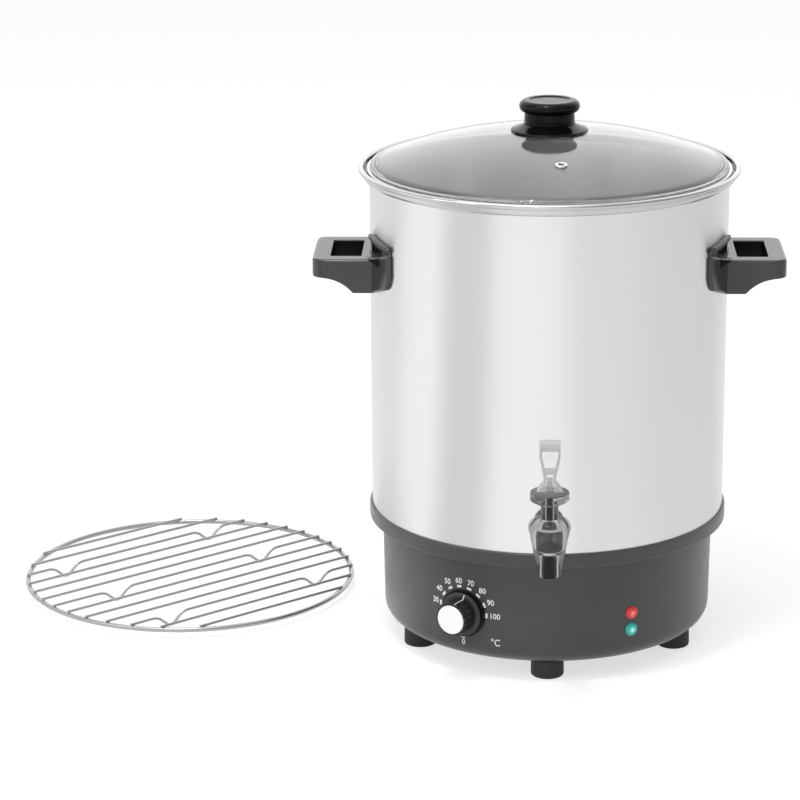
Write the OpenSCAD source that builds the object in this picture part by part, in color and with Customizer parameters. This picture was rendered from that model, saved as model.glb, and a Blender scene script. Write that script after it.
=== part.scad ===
// Mulled wine kettle: a steel pot with a glass lid on a heated plastic base, with a drip-free tap.
// The origin lies on the pot's axis at table level, +Z is up and the tap faces -Y.

/* [Pot] */
// Outer diameter of the pot's wall
pot_d = 350; // [300:1:400]
// Thickness of the pot's sheet steel
pot_wall = 1; // [0.8:0.1:1.5]
// Height of the lid's ledge above the top of the base
pot_rise = 330; // [280:1:380]
// Height of the pot's floor above the top of the base
floor_rise = 4; // [2:0.5:8]
// How far the wall reaches down inside the base's collar
pot_tail = 8; // [5:0.5:10]

/* [Rim] */
// How far the flat ledge reaches past the wall
ledge_w = 2; // [1:0.5:4]
// Outer radius of the curve from the ledge to the upstand
rim_curve = 5; // [4:0.5:7]
// Straight height from that curve to the middle of the bead
rim_upstand = 4.7; // [3:0.1:8]
// Radius of the rolled bead
bead_r = 2.6; // [2:0.1:3.5]

/* [Base] */
// Height of the base's top above the table
base_top = 137; // [125:1:160]
// Height of the collar band round the pot's foot
collar_h = 14; // [11:0.5:18]
// How far the collar stands out from the pot's wall
collar_out = 2.6; // [2:0.1:6]
// Diameter of the skirt just under the collar
skirt_top_d = 329.2; // [325:0.2:333]
// Diameter of the skirt just above its bottom curve
skirt_low_d = 326; // [322:0.2:328]
// Radius of the skirt's bottom curve
base_round = 16; // [12:0.5:20]
// Wall of the moulded housing
housing_wall = 3; // [2:0.25:4]
// How far the pot's seat reaches in past the wall of the housing
seat_in = 4; // [3:0.5:8]
// Width of the flat lip round the bottom cover
lip_w = 6; // [4:0.5:9]
// Width of the flange that carries the bottom cover
flange_w = 11; // [9:0.5:14]
// Thickness of the bottom cover
cover_t = 2.5; // [1.5:0.25:4]
// Diameter of the cooling holes in the bottom cover
vent_d = 8; // [5:0.5:12]

/* [Feet] */
// Height of the rubber feet
foot_h = 18.5; // [12:0.5:25]
// Diameter of a foot
foot_d = 32.4; // [26:0.2:36]
// Distance of the feet from the axis
foot_orbit = 136.4; // [128:0.2:142]
// Angle from the front foot to the feet at the sides
side_foot_turn = 67.5; // [60:0.5:75]
// Angle from the front foot to the feet at the back
rear_foot_turn = 144; // [130:1:155]

/* [Heater] */
// Diameter of the aluminium heat plate
heat_plate_d = 240; // [200:5:280]
// Thickness of the heat plate
heat_plate_t = 8; // [6:0.5:10]
// Diameter of the element's circle
element_orbit_d = 190; // [150:5:190]
// Diameter of the element's tube
element_d = 8.2; // [6:0.2:9]
// Angle that the element sweeps
element_sweep = 320; // [270:5:335]
// Length of the element's cold legs
element_leg = 16; // [12:1:24]
// Width of the clamp bar that holds the pot down
bar_w = 25; // [18:1:32]
// Thickness of the clamp bar
bar_t = 3; // [2:0.5:4]
// Distance between the two floor studs
stud_span = 120; // [90:5:150]
// Diameter of the floor studs
stud_d = 6; // [5:0.5:8]

/* [Controls] */
// Direction of the dial, from +X
dial_angle = -120; // [-130:1:-115]
// Direction of the lamps, from +X
lamp_angle = -60.4; // [-65:0.1:-50]
// Height of the dial's axis
dial_z = 65; // [60:0.5:80]
// Diameter of the dial's backing ring
dial_ring_d = 47.5; // [44:0.5:50]
// Height of the backing ring's flat face above the skirt
dial_ring_t = 2; // [1.5:0.25:3]
// Diameter of the knob's flange
knob_flange_d = 43.5; // [38:0.5:44]
// Thickness of the knob's flange
knob_flange_t = 4; // [3:0.5:6]
// Diameter of the knob's grip
knob_grip_d = 33; // [32:0.5:36]
// Length of the knob's grip
knob_grip_h = 17; // [14:0.5:22]
// Number of flutes in the grip
knob_flutes = 18; // [12:1:24]
// Diameter of the silver cap
knob_cap_d = 28.5; // [22:0.5:29]
// Thickness of the silver cap
knob_cap_t = 1.6; // [1:0.2:2.4]
// Diameter of the thermostat's spindle
spindle_d = 6; // [5:0.25:7]
// Height of the upper, red lamp
red_z = 66.4; // [64:0.2:75]
// Height of the lower, green lamp
green_z = 49.2; // [44:0.2:51]
// Diameter of a lamp's lens
lamp_d = 13.4; // [11:0.2:14.4]
// How far a lens stands out
lamp_out = 3; // [2:0.25:5]

/* [Handles] */
// Height of a handle's top face
handle_z = 393.5; // [360:0.5:410]
// How far a handle stands out from the wall
handle_reach = 55; // [48:0.5:70]
// Width of a handle along the wall
handle_w = 89; // [80:1:100]
// Height of the grip bar
grip_h = 18.5; // [14:0.5:24]
// Height of a handle at the wall
handle_drop = 34.5; // [30:0.5:40]
// Radius of the arch over the fingers
arch_r = 41; // [38:0.5:46]
// Radius of the handle's outer corners
handle_corner = 14; // [10:0.5:18]
// Wall of the handle's moulding
handle_wall = 3; // [2:0.25:4]
// Length of the grip hole along the wall
hole_w = 56; // [48:1:62]
// Width of the grip hole away from the wall
hole_d = 30; // [26:0.5:34]
// Width of the grip bar outside the hole
bar_grip = 17.5; // [14:0.5:20]
// Radius of the handle's top edges
top_round = 4; // [2:0.5:6]
// Radius of the flare from the handle's cheeks to its pad
cheek_flare = 20; // [12:0.5:24]
// Thickness of the pad that hugs the pot
pad_t = 4; // [3:0.25:5]
// Width of that pad along the wall
pad_w = 182; // [170:1:190]
// Height of the pad's ears above the handle's top face
ear_h = 25; // [20:0.5:28]
// How far the ears' top edge falls towards the ends of the pad
ear_fall = 4; // [2:0.5:6]
// Height of the rolled lip along the top of the ears
ear_lip = 5; // [3:0.5:6]
// Depth of the hollow under that lip
ear_hollow = 2.5; // [2:0.25:2.75]
// Height of the pad's shoulders at their outer ends above the handle's top face
shoulder_rise = 11; // [6:0.5:13]
// Radius of the pad's lower corners
pad_round = 37; // [30:1:42]
// Distance of a handle's studs from the inside of its cheeks
handle_stud_in = 6.5; // [6:0.25:7]
// Diameter of those studs
handle_stud_d = 4; // [3:0.5:4]

/* [Tap] */
// Distance of the tap's axis from the pot's wall
tap_reach = 50; // [46:0.5:60]
// Height of the shank's axis
tap_z = 168; // [164:0.5:180]
// Outer diameter of the threaded shank
shank_d = 21; // [19:0.5:22]
// Bore of the shank
shank_bore = 13; // [11:0.5:14]
// Diameter of the spout's tip
spout_tip_d = 20.4; // [18:0.2:24]
// Bore of the spout
spout_bore = 14.4; // [12:0.2:15]
// Depth of the spout's tip below the shank's axis
spout_drop = 35; // [30:0.5:40]
// Diameter where the spout meets the bulb
bulb_low_d = 36.4; // [35:0.2:38]
// Largest diameter of the bulb
bulb_d = 40; // [39:0.2:44]
// Radius of the bulb's rounded top edge
bulb_round = 10; // [7:0.25:11]
// Diameter of the valve's chamber
chamber_d = 25; // [23:0.5:26]
// Diameter of the bonnet's neck
neck_d = 16.2; // [15:0.2:17]
// Height of the neck between bulb and bonnet
neck_h = 13.8; // [12:0.2:18]
// Diameter of the bonnet
bonnet_d = 36.8; // [32:0.2:40]
// Height of the bonnet
bonnet_h = 12; // [9:0.5:15]
// Diameter of the valve's stem
stem_d = 6; // [5:0.25:6.5]
// Width of the lever's loop
lever_w = 19.5; // [17:0.5:22]
// Height of the lever
lever_h = 50; // [46:0.5:58]
// Width of the lever's foot
lever_foot_w = 24; // [20:0.5:28]
// Diameter of the lever's pin
pin_d = 3; // [2.5:0.25:3.5]
// Height of the pin above the bonnet
pin_h = 6; // [5.5:0.25:7]

/* [Lid] */
// Gap between the lid's band and the upstand
band_gap = 3; // [2:0.25:4]
// Height of the lid's band
band_h = 9; // [8:0.25:11]
// Thickness of the band's sheet
band_t = 0.8; // [0.5:0.1:1]
// Width of the band's flanges
band_w = 3.2; // [2.6:0.1:5]
// Thickness of the glass
glass_t = 4; // [3:0.25:5]
// Rise of the dome above the band
dome_rise = 37; // [30:0.5:44]
// Height of the upright shoulder round the dome
dome_shoulder = 4.5; // [3:0.5:6]
// Distance of the vent eyelet from the axis
vent_orbit = 110; // [90:0.5:125]
// Direction of the vent eyelet, from +X
vent_angle = -84.8; // [-120:0.1:-60]
// Outer diameter of the vent eyelet
eyelet_d = 12.4; // [10:0.2:16]
// Hole through the vent eyelet
eyelet_bore = 5.2; // [4:0.2:6]
// Diameter of the lid knob's flared base
knob_base_d = 75.6; // [66:0.2:86]
// Height of the lid knob's flared base
knob_base_h = 6; // [4.5:0.5:9]
// Diameter of the lid knob's neck
knob_neck_d = 49.4; // [44:0.2:54]
// Height of that neck
knob_neck_h = 11; // [8:0.5:14]
// Diameter of the lid knob's top
knob_top_d = 59; // [56:0.5:66]
// Height of the lid knob's top
knob_top_h = 12; // [10:0.5:16]

/* [Rack] */
// Outer diameter of the insert rack
rack_d = 346; // [290:1:346]
// Thickness of the rack's ring wire
ring_wire_d = 5; // [4:0.25:6]
// Thickness of the rack's cross wires
cross_wire_d = 3; // [2.5:0.25:4]
// Distance between the cross wires
wire_pitch = 24.2; // [23:0.1:25]
// Cross wires on each side of the middle one
wires_each_side = 6; // [4:1:6]
// Height of the cross wires' middle above the table
wire_z = 12.7; // [10:0.1:16]
// Length of a foot bent into a cross wire
wire_foot_w = 32; // [26:1:40]
// Distance of the bent feet from the middle of the wire
wire_foot_at = 93; // [80:1:100]
// Place of the rack beside the kettle, along X
rack_x = -375; // [-440:1:-368]
// Place of the rack beside the kettle, along Y
rack_y = 124; // [60:1:160]
// Direction of the cross wires, from +X
rack_turn = 41; // [0:1:60]

/* [Fits] */
// Gap between pieces of different bodies that rest on each other
rest_gap = 0.3; // [0.2:0.05:0.5]
// Radial clearance of a turning or sliding shaft
shaft_gap = 0.06; // [0.03:0.01:0.1]
// Radial clearance of a screw, stud or stub in its hole
hole_gap = 0.2; // [0.1:0.05:0.3]

/* [Hidden] */
$fn = 96;
bit = 0.01;

// Heights and radii of the pot
pot_r = pot_d / 2;
pot_in = pot_r - pot_wall;
floor_t = 1.2 * pot_wall;
floor_z = base_top + floor_rise;
floor_under = floor_z - floor_t;
ledge_z = base_top + pot_rise;
curve_r = pot_r + ledge_w;
curve_z = ledge_z - pot_wall + rim_curve;
upstand_r = curve_r + rim_curve;
upstand_in = upstand_r - pot_wall;
bead_z = curve_z + rim_upstand;
bead_at = upstand_in + bead_r - pot_wall / 4;

// Heights and radii of the base
seat_z = base_top - pot_tail;
collar_r = pot_r + collar_out;
collar_z = base_top - collar_h;
skirt_top_r = skirt_top_d / 2;
skirt_low_r = skirt_low_d / 2;
round_r = skirt_low_r - base_round;
round_z = foot_h + base_round;
wall_in_top = skirt_top_r - housing_wall;
inner_round = base_round - housing_wall;
cover_r = round_r - lip_w;
flange_z = foot_h + cover_t;
flange_top = flange_z + housing_wall;
flange_in = cover_r - flange_w;
seat_r = wall_in_top - seat_in;
boss_r = 4;
screw_r = 1.75;
screw_count = 4;
screw_orbit = cover_r - flange_w / 2;
foot_angles = [for (turn = [0, -side_foot_turn, side_foot_turn, -rear_foot_turn, rear_foot_turn]) turn - 90];
foot_screw_head = 2 * screw_r + 1;
gland_z = 45;
gland_r = 8;
block_at = [0, 95];
block_size = [52, 20, 16];
lead_r = 1.4;

// Heater
heat_under = floor_under - heat_plate_t;
bar_top = seat_z - housing_wall;
bar_half = sqrt(pow(wall_in_top, 2) - pow(bar_w / 2, 2)) - 0.5;
nut_h = 0.8 * stud_d;
cutout_r = 12;
cutout_orbit = element_orbit_d / 2 - element_d / 2 - cutout_r - 4;
cutout_at = cutout_orbit * [-0.6, 0.8];
stud_low = bar_top - bar_t - nut_h - 2;

// Controls
function skirt_r(z) = skirt_low_r + (skirt_top_r - skirt_low_r) * (z - round_z) / (collar_z - round_z);
function skirt_in(z, half) = min(skirt_r(z - half), skirt_r(z + half)) - housing_wall;
function skirt_out(z, half) = max(skirt_r(z - half), skirt_r(z + half));
dial_face = skirt_r(dial_z) + dial_ring_t;
knob_back = dial_face + 0.5;
knob_front = knob_back + knob_flange_t + knob_grip_h;
bushing_r = spindle_d / 2 + 2;
bushing_out = knob_back + knob_flange_t / 2;
thermostat_w = 40;
thermostat_deep = 28;
thermostat_front = sqrt(pow(skirt_in(dial_z, thermostat_w / 2), 2) - pow(thermostat_w / 2, 2)) - hole_gap;
thermostat_back = thermostat_front - thermostat_deep;
spindle_out = knob_front - 5;
spindle_in = thermostat_front - 10;
stub_r = lamp_d / 2 - 1.6;
holder_r = lamp_d / 2 + 0.8;
holder_long = 20;

// Handles
handle_x = pot_r + handle_reach;
handle_low = handle_z - handle_drop;
grip_low = handle_z - grip_h;
arch_at = [handle_x - 8, grip_low - arch_r];
hole_out = handle_x - bar_grip;
hole_in = hole_out - hole_d;
pad_r = pot_r + pad_t;
ear_z = handle_z + ear_h;
ear_in = handle_w / 2 - 4.5;
handle_stud_z = handle_z - handle_wall - 14;
handle_stud_turn = asin((handle_w / 2 - handle_wall - handle_stud_in) / pot_r);
handle_nut_h = 0.8 * handle_stud_d;

// Tap, measured from its own axis
tap_y = -pot_r - tap_reach;
shank_r = shank_d / 2;
spout_z = tap_z - spout_drop;
bulb_low = tap_z + 5;
bulb_mid = tap_z + 12.2;
bulb_top = bulb_mid + bulb_round;
seat_low = tap_z - 12;
seat_high = tap_z - 8;
chamber_top = tap_z + 12;
bonnet_low = bulb_top + neck_h;
bonnet_top = bonnet_low + bonnet_h;
pin_z = bonnet_top + pin_h;
gasket_t = 3;
shoulder_t = 5;
shoulder_r = shank_r + 4.5;
tap_nut_t = 8;
shank_end = pot_in - gasket_t - tap_nut_t - 3;
tongue_w = 5.5;
tongue_d = 7;
slot_w = tongue_w + 1;
lever_foot_z = bonnet_top + rest_gap;
lever_top = bonnet_top + lever_h;
lever_t = 7;
lever_foot_d = 14;
foot_edge = 2;

// Lid
lid_low = ledge_z + rest_gap;
lid_top = lid_low + band_h;
band_r = upstand_in - band_gap;
band_in = band_r - band_w;
glass_top = lid_top - band_t;
glass_r = band_r - band_t - hole_gap;
dome_edge = band_in - 0.5;
dome_top = glass_top + dome_rise;
dome_arch = dome_rise - dome_shoulder;
dome_r = (pow(dome_edge, 2) + pow(dome_arch, 2)) / (2 * dome_arch);
dome_z = dome_top - dome_r;
vent_tilt = asin(vent_orbit / dome_r);
base_ring_r = knob_base_d / 2;
neck_r = knob_neck_d / 2;
knob_base_top = dome_top + knob_base_h;
knob_neck_top = knob_base_top + knob_neck_h;
lid_knob_top = knob_neck_top + knob_top_h;
lid_screw_r = 2.5;
washer_r = 20;
washer_t = 3;

// Rack
ring_orbit = rack_d / 2 - ring_wire_d / 2;
weld = 0.5;
ring_z = wire_z - cross_wire_d / 2 - ring_wire_d / 2 + weld;
foot_wire_step = wires_each_side - 2;

steel = "#c9ccce";
bright = "#e4e6e8";
black = "#3a3a3c";
rubber = "#232325";
smoky = "#4a4b4d";
pale = "#b9bbbc";
brass = "#c8a85a";
alloy = "#aeb2b5";

// Points of an arc from angle a to angle b
function arc(at, r, a, b, n = 10) =
    [for (i = [0:n]) at + r * [cos(a + (b - a) * i / n), sin(a + (b - a) * i / n)]];

// Round bar from p to q, longer by grow at both ends
module rod(p, q, r, grow = 0) {
    v = q - p;
    translate(p)
        rotate([0, acos(v[2] / norm(v)), atan2(v[1], v[0])])
            translate([0, 0, -grow])
                cylinder(r = r, h = norm(v) + 2 * grow, $fn = 24);
}

// Bent wire through a list of points
module bent_wire(points, r) {
    for (i = [0:len(points) - 2])
        rod(points[i], points[i + 1], r, r / 2);
}

// Puts its children on a radial axis that points outwards, at a height
module radial(turn, z) {
    rotate([0, 0, turn])
        translate([0, 0, z])
            rotate([0, 90, 0])
                children();
}

// Puts its children on the tap's vertical axis
module at_tap() {
    translate([0, tap_y, 0])
        children();
}

// Puts its children on a horizontal axis from the tap towards the pot
module at_shank() {
    translate([0, 0, tap_z])
        rotate([90, 0, 0])
            children();
}

// Hexagonal nut with a bore
module hex_nut(across, h, bore_r) {
    difference() {
        cylinder(d = across / cos(30), h = h, $fn = 6);
        translate([0, 0, -bit])
            cylinder(r = bore_r, h = h + 2 * bit);
    }
}

// Puts its children on the axis of each foot
module at_feet() {
    for (turn = foot_angles)
        rotate([0, 0, turn])
            translate([foot_orbit, 0, 0])
                children();
}

// Places at equal angles round the axis
module around(count, orbit, first = 0) {
    for (i = [0:count - 1])
        rotate([0, 0, first + i * 360 / count])
            translate([orbit, 0, 0])
                children();
}

// Pot: one sheet with floor, wall, ledge, upstand and rolled bead
module pot() {
    color(steel)
    difference() {
        rotate_extrude() {
            polygon(concat(
                [[0, floor_under], [pot_in, floor_under], [pot_in, seat_z], [pot_r, seat_z]],
                [[pot_r, ledge_z - pot_wall]],
                arc([curve_r, curve_z], rim_curve, -90, 0),
                [[upstand_r, bead_z], [upstand_in, bead_z]],
                arc([curve_r, curve_z], rim_curve - pot_wall, 0, -90),
                [[pot_in, ledge_z], [pot_in, floor_z], [0, floor_z]]
            ));
            translate([bead_at, bead_z])
                circle(r = bead_r);
        }
        at_shank()
            translate([0, 0, pot_r / 2])
                cylinder(r = shank_r + hole_gap, h = pot_r);
    }
}

// Outside of the base, as a solid of revolution
module base_outside() {
    rotate_extrude()
        polygon(concat(
            [[0, foot_h]],
            arc([round_r, round_z], base_round, -90, 0),
            [[skirt_top_r, collar_z], [collar_r, collar_z], [collar_r, base_top], [0, base_top]]
        ));
}

// Moulded base: collar, pot seat, tapered skirt and flange for the bottom cover
module base_housing() {
    inner_start = -asin((round_z - flange_top) / inner_round);
    color(black)
    difference() {
        union() {
            rotate_extrude()
                polygon(concat(
                    [[seat_r, bar_top], [seat_r, seat_z], [pot_r + hole_gap, seat_z]],
                    [[pot_r + hole_gap, base_top], [collar_r, base_top], [collar_r, collar_z]],
                    [[skirt_top_r, collar_z]],
                    arc([round_r, round_z], base_round, 0, -90),
                    [[cover_r + hole_gap, foot_h], [cover_r + hole_gap, flange_z]],
                    [[flange_in, flange_z], [flange_in, flange_top]],
                    arc([round_r, round_z], inner_round, inner_start, 0),
                    [[wall_in_top, collar_z], [wall_in_top, bar_top]]
                ));
            around(screw_count, screw_orbit, 45)
                translate([0, 0, flange_top - bit])
                    cylinder(r = boss_r, h = 8);
        }
        around(screw_count, screw_orbit, 45)
            translate([0, 0, flange_z - bit])
                cylinder(r = screw_r, h = housing_wall + 6);
        at_feet()
            translate([0, 0, flange_z - bit])
                cylinder(r = screw_r, h = housing_wall + 2 * bit);
        radial(dial_angle, dial_z)
            translate([0, 0, wall_in_top / 2])
                cylinder(r = bushing_r + hole_gap, h = wall_in_top);
        for (z = [red_z, green_z])
            radial(lamp_angle, z)
                translate([0, 0, wall_in_top / 2])
                    cylinder(r = stub_r + hole_gap, h = wall_in_top);
        radial(90, gland_z)
            translate([0, 0, wall_in_top / 2])
                cylinder(r = gland_r + hole_gap, h = wall_in_top);
    }
}

// Bottom cover with cooling holes
module bottom_cover() {
    color(black)
    difference() {
        translate([0, 0, foot_h])
            cylinder(r = cover_r, h = cover_t);
        around(screw_count, screw_orbit, 45)
            translate([0, 0, foot_h - bit])
                cylinder(r = screw_r + hole_gap, h = cover_t + 2 * bit);
        for (ring = [2:4])
            around(6 * ring, ring * 2.6 * vent_d, 15)
                translate([0, 0, foot_h - bit])
                    cylinder(d = vent_d, h = cover_t + 2 * bit);
        at_feet()
            translate([0, 0, foot_h - bit])
                cylinder(r = screw_r + hole_gap, h = cover_t + 2 * bit);
    }
}

// Screw that comes up from below: head under z, shank above it
module upward_screw(z, length) {
    translate([0, 0, z - 1.8])
        cylinder(r = 2 * screw_r, h = 1.8);
    translate([0, 0, z - bit])
        cylinder(r = screw_r - hole_gap / 4, h = length);
}

module cover_screws() {
    color(bright)
    around(screw_count, screw_orbit, 45)
        upward_screw(foot_h, cover_t + housing_wall + 4);
}

// Rubber foot with a rounded tread and a hole for its screw
module foot(index) {
    tread = 2.5;
    foot_r = foot_d / 2;
    color(rubber)
    rotate([0, 0, foot_angles[index]])
        translate([foot_orbit, 0, 0])
            rotate_extrude()
                polygon(concat(
                    [[foot_screw_head, 0]],
                    arc([foot_r - tread, tread], tread, -90, 0, 6),
                    [[foot_r - 0.6, foot_h], [screw_r + hole_gap, foot_h]],
                    [[screw_r + hole_gap, foot_h / 2], [foot_screw_head, foot_h / 2]]
                ));
}

module foot_front() foot(0);
module foot_left() foot(1);
module foot_right() foot(2);
module foot_rear_left() foot(3);
module foot_rear_right() foot(4);

module foot_screws() {
    color(bright)
    at_feet()
        upward_screw(foot_h / 2, foot_h / 2 + cover_t + housing_wall);
}

// Aluminium plate under the floor, with a groove for the element and holes for the studs
module heat_plate() {
    color(alloy)
    difference() {
        translate([0, 0, heat_under])
            cylinder(d = heat_plate_d, h = heat_plate_t);
        rotate_extrude()
            translate([element_orbit_d / 2, heat_under])
                circle(d = element_d + hole_gap);
        for (side = [-1, 1])
            translate([side * stud_span / 2, 0, heat_under - bit])
                cylinder(r = stud_d / 2 + hole_gap, h = heat_plate_t + 2 * bit);
    }
}

// Tubular element: an open ring with two cold legs that point down
module heating_element() {
    gap = (360 - element_sweep) / 2;
    color(steel) {
        rotate_extrude(angle = element_sweep, start = 90 + gap)
            translate([element_orbit_d / 2, heat_under])
                circle(d = element_d);
        for (turn = [90 - gap, 90 + gap])
            rotate([0, 0, turn])
                translate([element_orbit_d / 2, 0, heat_under - element_leg])
                    cylinder(d = element_d - 1, h = element_leg);
    }
}

// Flat bar that presses up against the pot's seat
module clamp_bar() {
    color(steel)
    difference() {
        translate([-bar_half, -bar_w / 2, bar_top - bar_t])
            cube([2 * bar_half, bar_w, bar_t]);
        for (side = [-1, 1])
            translate([side * stud_span / 2, 0, bar_top - bar_t - bit])
                cylinder(r = stud_d / 2 + hole_gap, h = bar_t + 2 * bit);
    }
}

module floor_studs() {
    color(bright)
    for (side = [-1, 1])
        translate([side * stud_span / 2, 0, stud_low])
            cylinder(d = stud_d, h = floor_under - stud_low);
}

module stud_nuts() {
    color(bright)
    for (side = [-1, 1])
        translate([side * stud_span / 2, 0, bar_top - bar_t - nut_h])
            hex_nut(1.7 * stud_d, nut_h, stud_d / 2 + hole_gap / 4);
}

// Cut-out that opens if the heat plate runs dry
module thermal_cutout() {
    color(bright)
    translate([cutout_at[0], cutout_at[1], heat_under]) {
        translate([0, 0, -10])
            cylinder(r = 0.75 * cutout_r, h = 10);
        translate([0, 0, -2])
            cylinder(r = cutout_r, h = 2);
        for (side = [-1, 1])
            translate([side * 5 - 3, -0.4, -18])
                cube([6, 0.8, 8 + bit]);
    }
}

// Capillary thermostat: box, threaded bushing and three tabs
module thermostat_body() {
    color(alloy)
    radial(dial_angle, dial_z)
        difference() {
            union() {
                translate([-thermostat_w / 2, -thermostat_w / 2, thermostat_back])
                    cube([thermostat_w, thermostat_w, thermostat_deep]);
                translate([0, 0, thermostat_front - bit])
                    cylinder(r = bushing_r, h = bushing_out - thermostat_front);
                for (i = [-1:1])
                    translate([i * 11 - 3, -0.4, thermostat_back - 8])
                        cube([6, 0.8, 8 + bit]);
            }
            translate([0, 0, spindle_in - 1])
                cylinder(r = spindle_d / 2 + shaft_gap, h = thermostat_w);
        }
}

// Sensor bulb under the heat plate and its capillary tube
module thermostat_sensor() {
    bulb_r = 3;
    bulb_z = heat_under - bulb_r - 0.1;
    pipe_z = dial_z + thermostat_w / 2;
    leave = (thermostat_back + 6) * [cos(dial_angle), sin(dial_angle)];
    color(brass) {
        rod([-45, -65, bulb_z], [35, -65, bulb_z], bulb_r);
        bent_wire([
            [-43, -65.6, bulb_z - 0.7], [-56, -72, bulb_z - 6], [leave[0] + 1, leave[1] + 2, pipe_z + 9],
            [leave[0], leave[1], pipe_z]
        ], 1);
    }
}

module terminal_block() {
    color(bright)
    translate([block_at[0] - block_size[0] / 2, block_at[1] - block_size[1] / 2, flange_z])
        difference() {
            cube(block_size);
            for (i = [0:2])
                translate([block_size[0] * (i + 0.5) / 3, -bit, block_size[2] / 2])
                    rotate([-90, 0, 0])
                        cylinder(r = lead_r + hole_gap, h = block_size[1] + 2 * bit);
        }
}

// Insulated leads from the terminal block to the thermostat, element and cut-out
module wiring() {
    lead_z = flange_z + block_size[2] / 2;
    front = block_at[1] - block_size[1] / 2;
    step = block_size[0] / 3;
    back = (thermostat_back - 9.2) * [cos(dial_angle), sin(dial_angle)];
    gap = (360 - element_sweep) / 2;
    leg = element_orbit_d / 2 * [cos(90 - gap), sin(90 - gap)];
    color("#8a2f2a") {
        bent_wire([
            [-step, front + 4, lead_z], [-step, front - 20, lead_z], [back[0] - 4, back[1] + 30, dial_z],
            [back[0], back[1], dial_z]
        ], lead_r);
        bent_wire([
            [step, front + 4, lead_z], [step, front - 16, lead_z], [leg[0], leg[1] - 24, lead_z + 30],
            [leg[0], leg[1], heat_under - element_leg - 8], [leg[0], leg[1], heat_under - element_leg - 0.4]
        ], lead_r);
        bent_wire([
            [0, front + 4, lead_z], [0, front - 24, lead_z],
            [cutout_at[0] + 5, cutout_at[1], heat_under - 30],
            [cutout_at[0] + 5, cutout_at[1], heat_under - 18.2]
        ], lead_r);
    }
}

// Gland at the back for the mains lead
module cord_gland() {
    collar = gland_r + 4;
    wall_out = skirt_out(gland_z, collar) + hole_gap;
    wall_in = sqrt(pow(skirt_in(gland_z, collar), 2) - pow(collar, 2)) - hole_gap;
    color(rubber)
    radial(90, gland_z)
        rotate_extrude()
            polygon([
                [3.6, wall_in - 8], [collar - 1, wall_in - 8], [collar - 1, wall_in],
                [gland_r, wall_in], [gland_r, wall_out], [collar, wall_out],
                [collar - 1, wall_out + 4], [6, wall_out + 6], [5.4, wall_out + 14], [3.6, wall_out + 14]
            ]);
}

// Flat-faced ring between the curved skirt and the knob
module dial_ring() {
    color(rubber)
    difference() {
        radial(dial_angle, dial_z)
            translate([0, 0, skirt_low_r - 6])
                cylinder(d = dial_ring_d, h = dial_face - skirt_low_r + 6);
        base_outside($fn = 720);
        radial(dial_angle, dial_z)
            cylinder(r = bushing_r + hole_gap, h = 2 * pot_r);
    }
}

// Domed lens on a stub that passes through the skirt
module lamp_lens(z) {
    lens_r = lamp_d / 2;
    crown_r = (pow(lens_r, 2) + pow(lamp_out, 2)) / (2 * lamp_out);
    face = skirt_r(z);
    difference() {
        radial(lamp_angle, z)
            intersection() {
                translate([0, 0, face - 2])
                    cylinder(r = lens_r, h = lamp_out + 2);
                translate([0, 0, face + lamp_out - crown_r])
                    sphere(r = crown_r);
            }
        base_outside();
    }
    radial(lamp_angle, z)
        translate([0, 0, face - housing_wall - 3])
            cylinder(r = stub_r, h = housing_wall + 3.6);
}

module lamp_red() color("#c02626") lamp_lens(red_z);
module lamp_green() color("#2fa84a") lamp_lens(green_z);

// Socket that holds a lens and its neon lamp from inside
module lamp_holder(z) {
    front = sqrt(pow(skirt_in(z, holder_r), 2) - pow(holder_r, 2)) - hole_gap;
    color(pale)
    radial(lamp_angle, z)
        translate([0, 0, front - holder_long])
            difference() {
                cylinder(r = holder_r, h = holder_long);
                translate([0, 0, 3])
                    cylinder(r = stub_r + hole_gap, h = holder_long);
            }
}

module red_holder() lamp_holder(red_z);
module green_holder() lamp_holder(green_z);

// Handle seen from the side, with the arch over the fingers
module handle_side(inset) {
    foot_a = acos((handle_low - arch_at[1]) / arch_r);
    edge = [handle_x - top_round, handle_z - top_round];
    polygon(concat(
        [[pot_in, handle_z - inset]],
        arc(edge, top_round - inset, 90, 0, 6),
        [[handle_x - inset, grip_low]],
        arc(arch_at, arch_r, 90, 90 + foot_a),
        [[pot_in, handle_low]]
    ));
}

// Handle seen from its outer end, with rounded top edges
module handle_end(inset) {
    half = handle_w / 2 - inset;
    edge = [handle_w / 2 - top_round, handle_z - top_round];
    polygon(concat(
        [[-half, handle_low - 1], [half, handle_low - 1]],
        arc(edge, top_round - inset, 0, 90, 6),
        arc([-edge[0], edge[1]], top_round - inset, 90, 180, 6)
    ));
}

// Handle seen from above, with rounded outer corners
module handle_plan(inset) {
    half = handle_w / 2 - inset;
    corner = handle_corner - inset;
    edge = handle_x - inset - corner;
    polygon(concat(
        [[pot_in - pot_r / 8, -half]],
        arc([edge, corner - half], corner, -90, 0, 8),
        arc([edge, half - corner], corner, 0, 90, 8),
        [[pot_in - pot_r / 8, half]]
    ));
}

module handle_block(inset) {
    intersection() {
        rotate([90, 0, 0])
            translate([0, 0, -handle_w / 2])
                linear_extrude(handle_w)
                    handle_side(inset);
        rotate([90, 0, 90])
            linear_extrude(2 * handle_x)
                handle_end(inset);
        translate([0, 0, handle_low - handle_drop])
            linear_extrude(2 * handle_drop)
                handle_plan(inset);
    }
}

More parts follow.
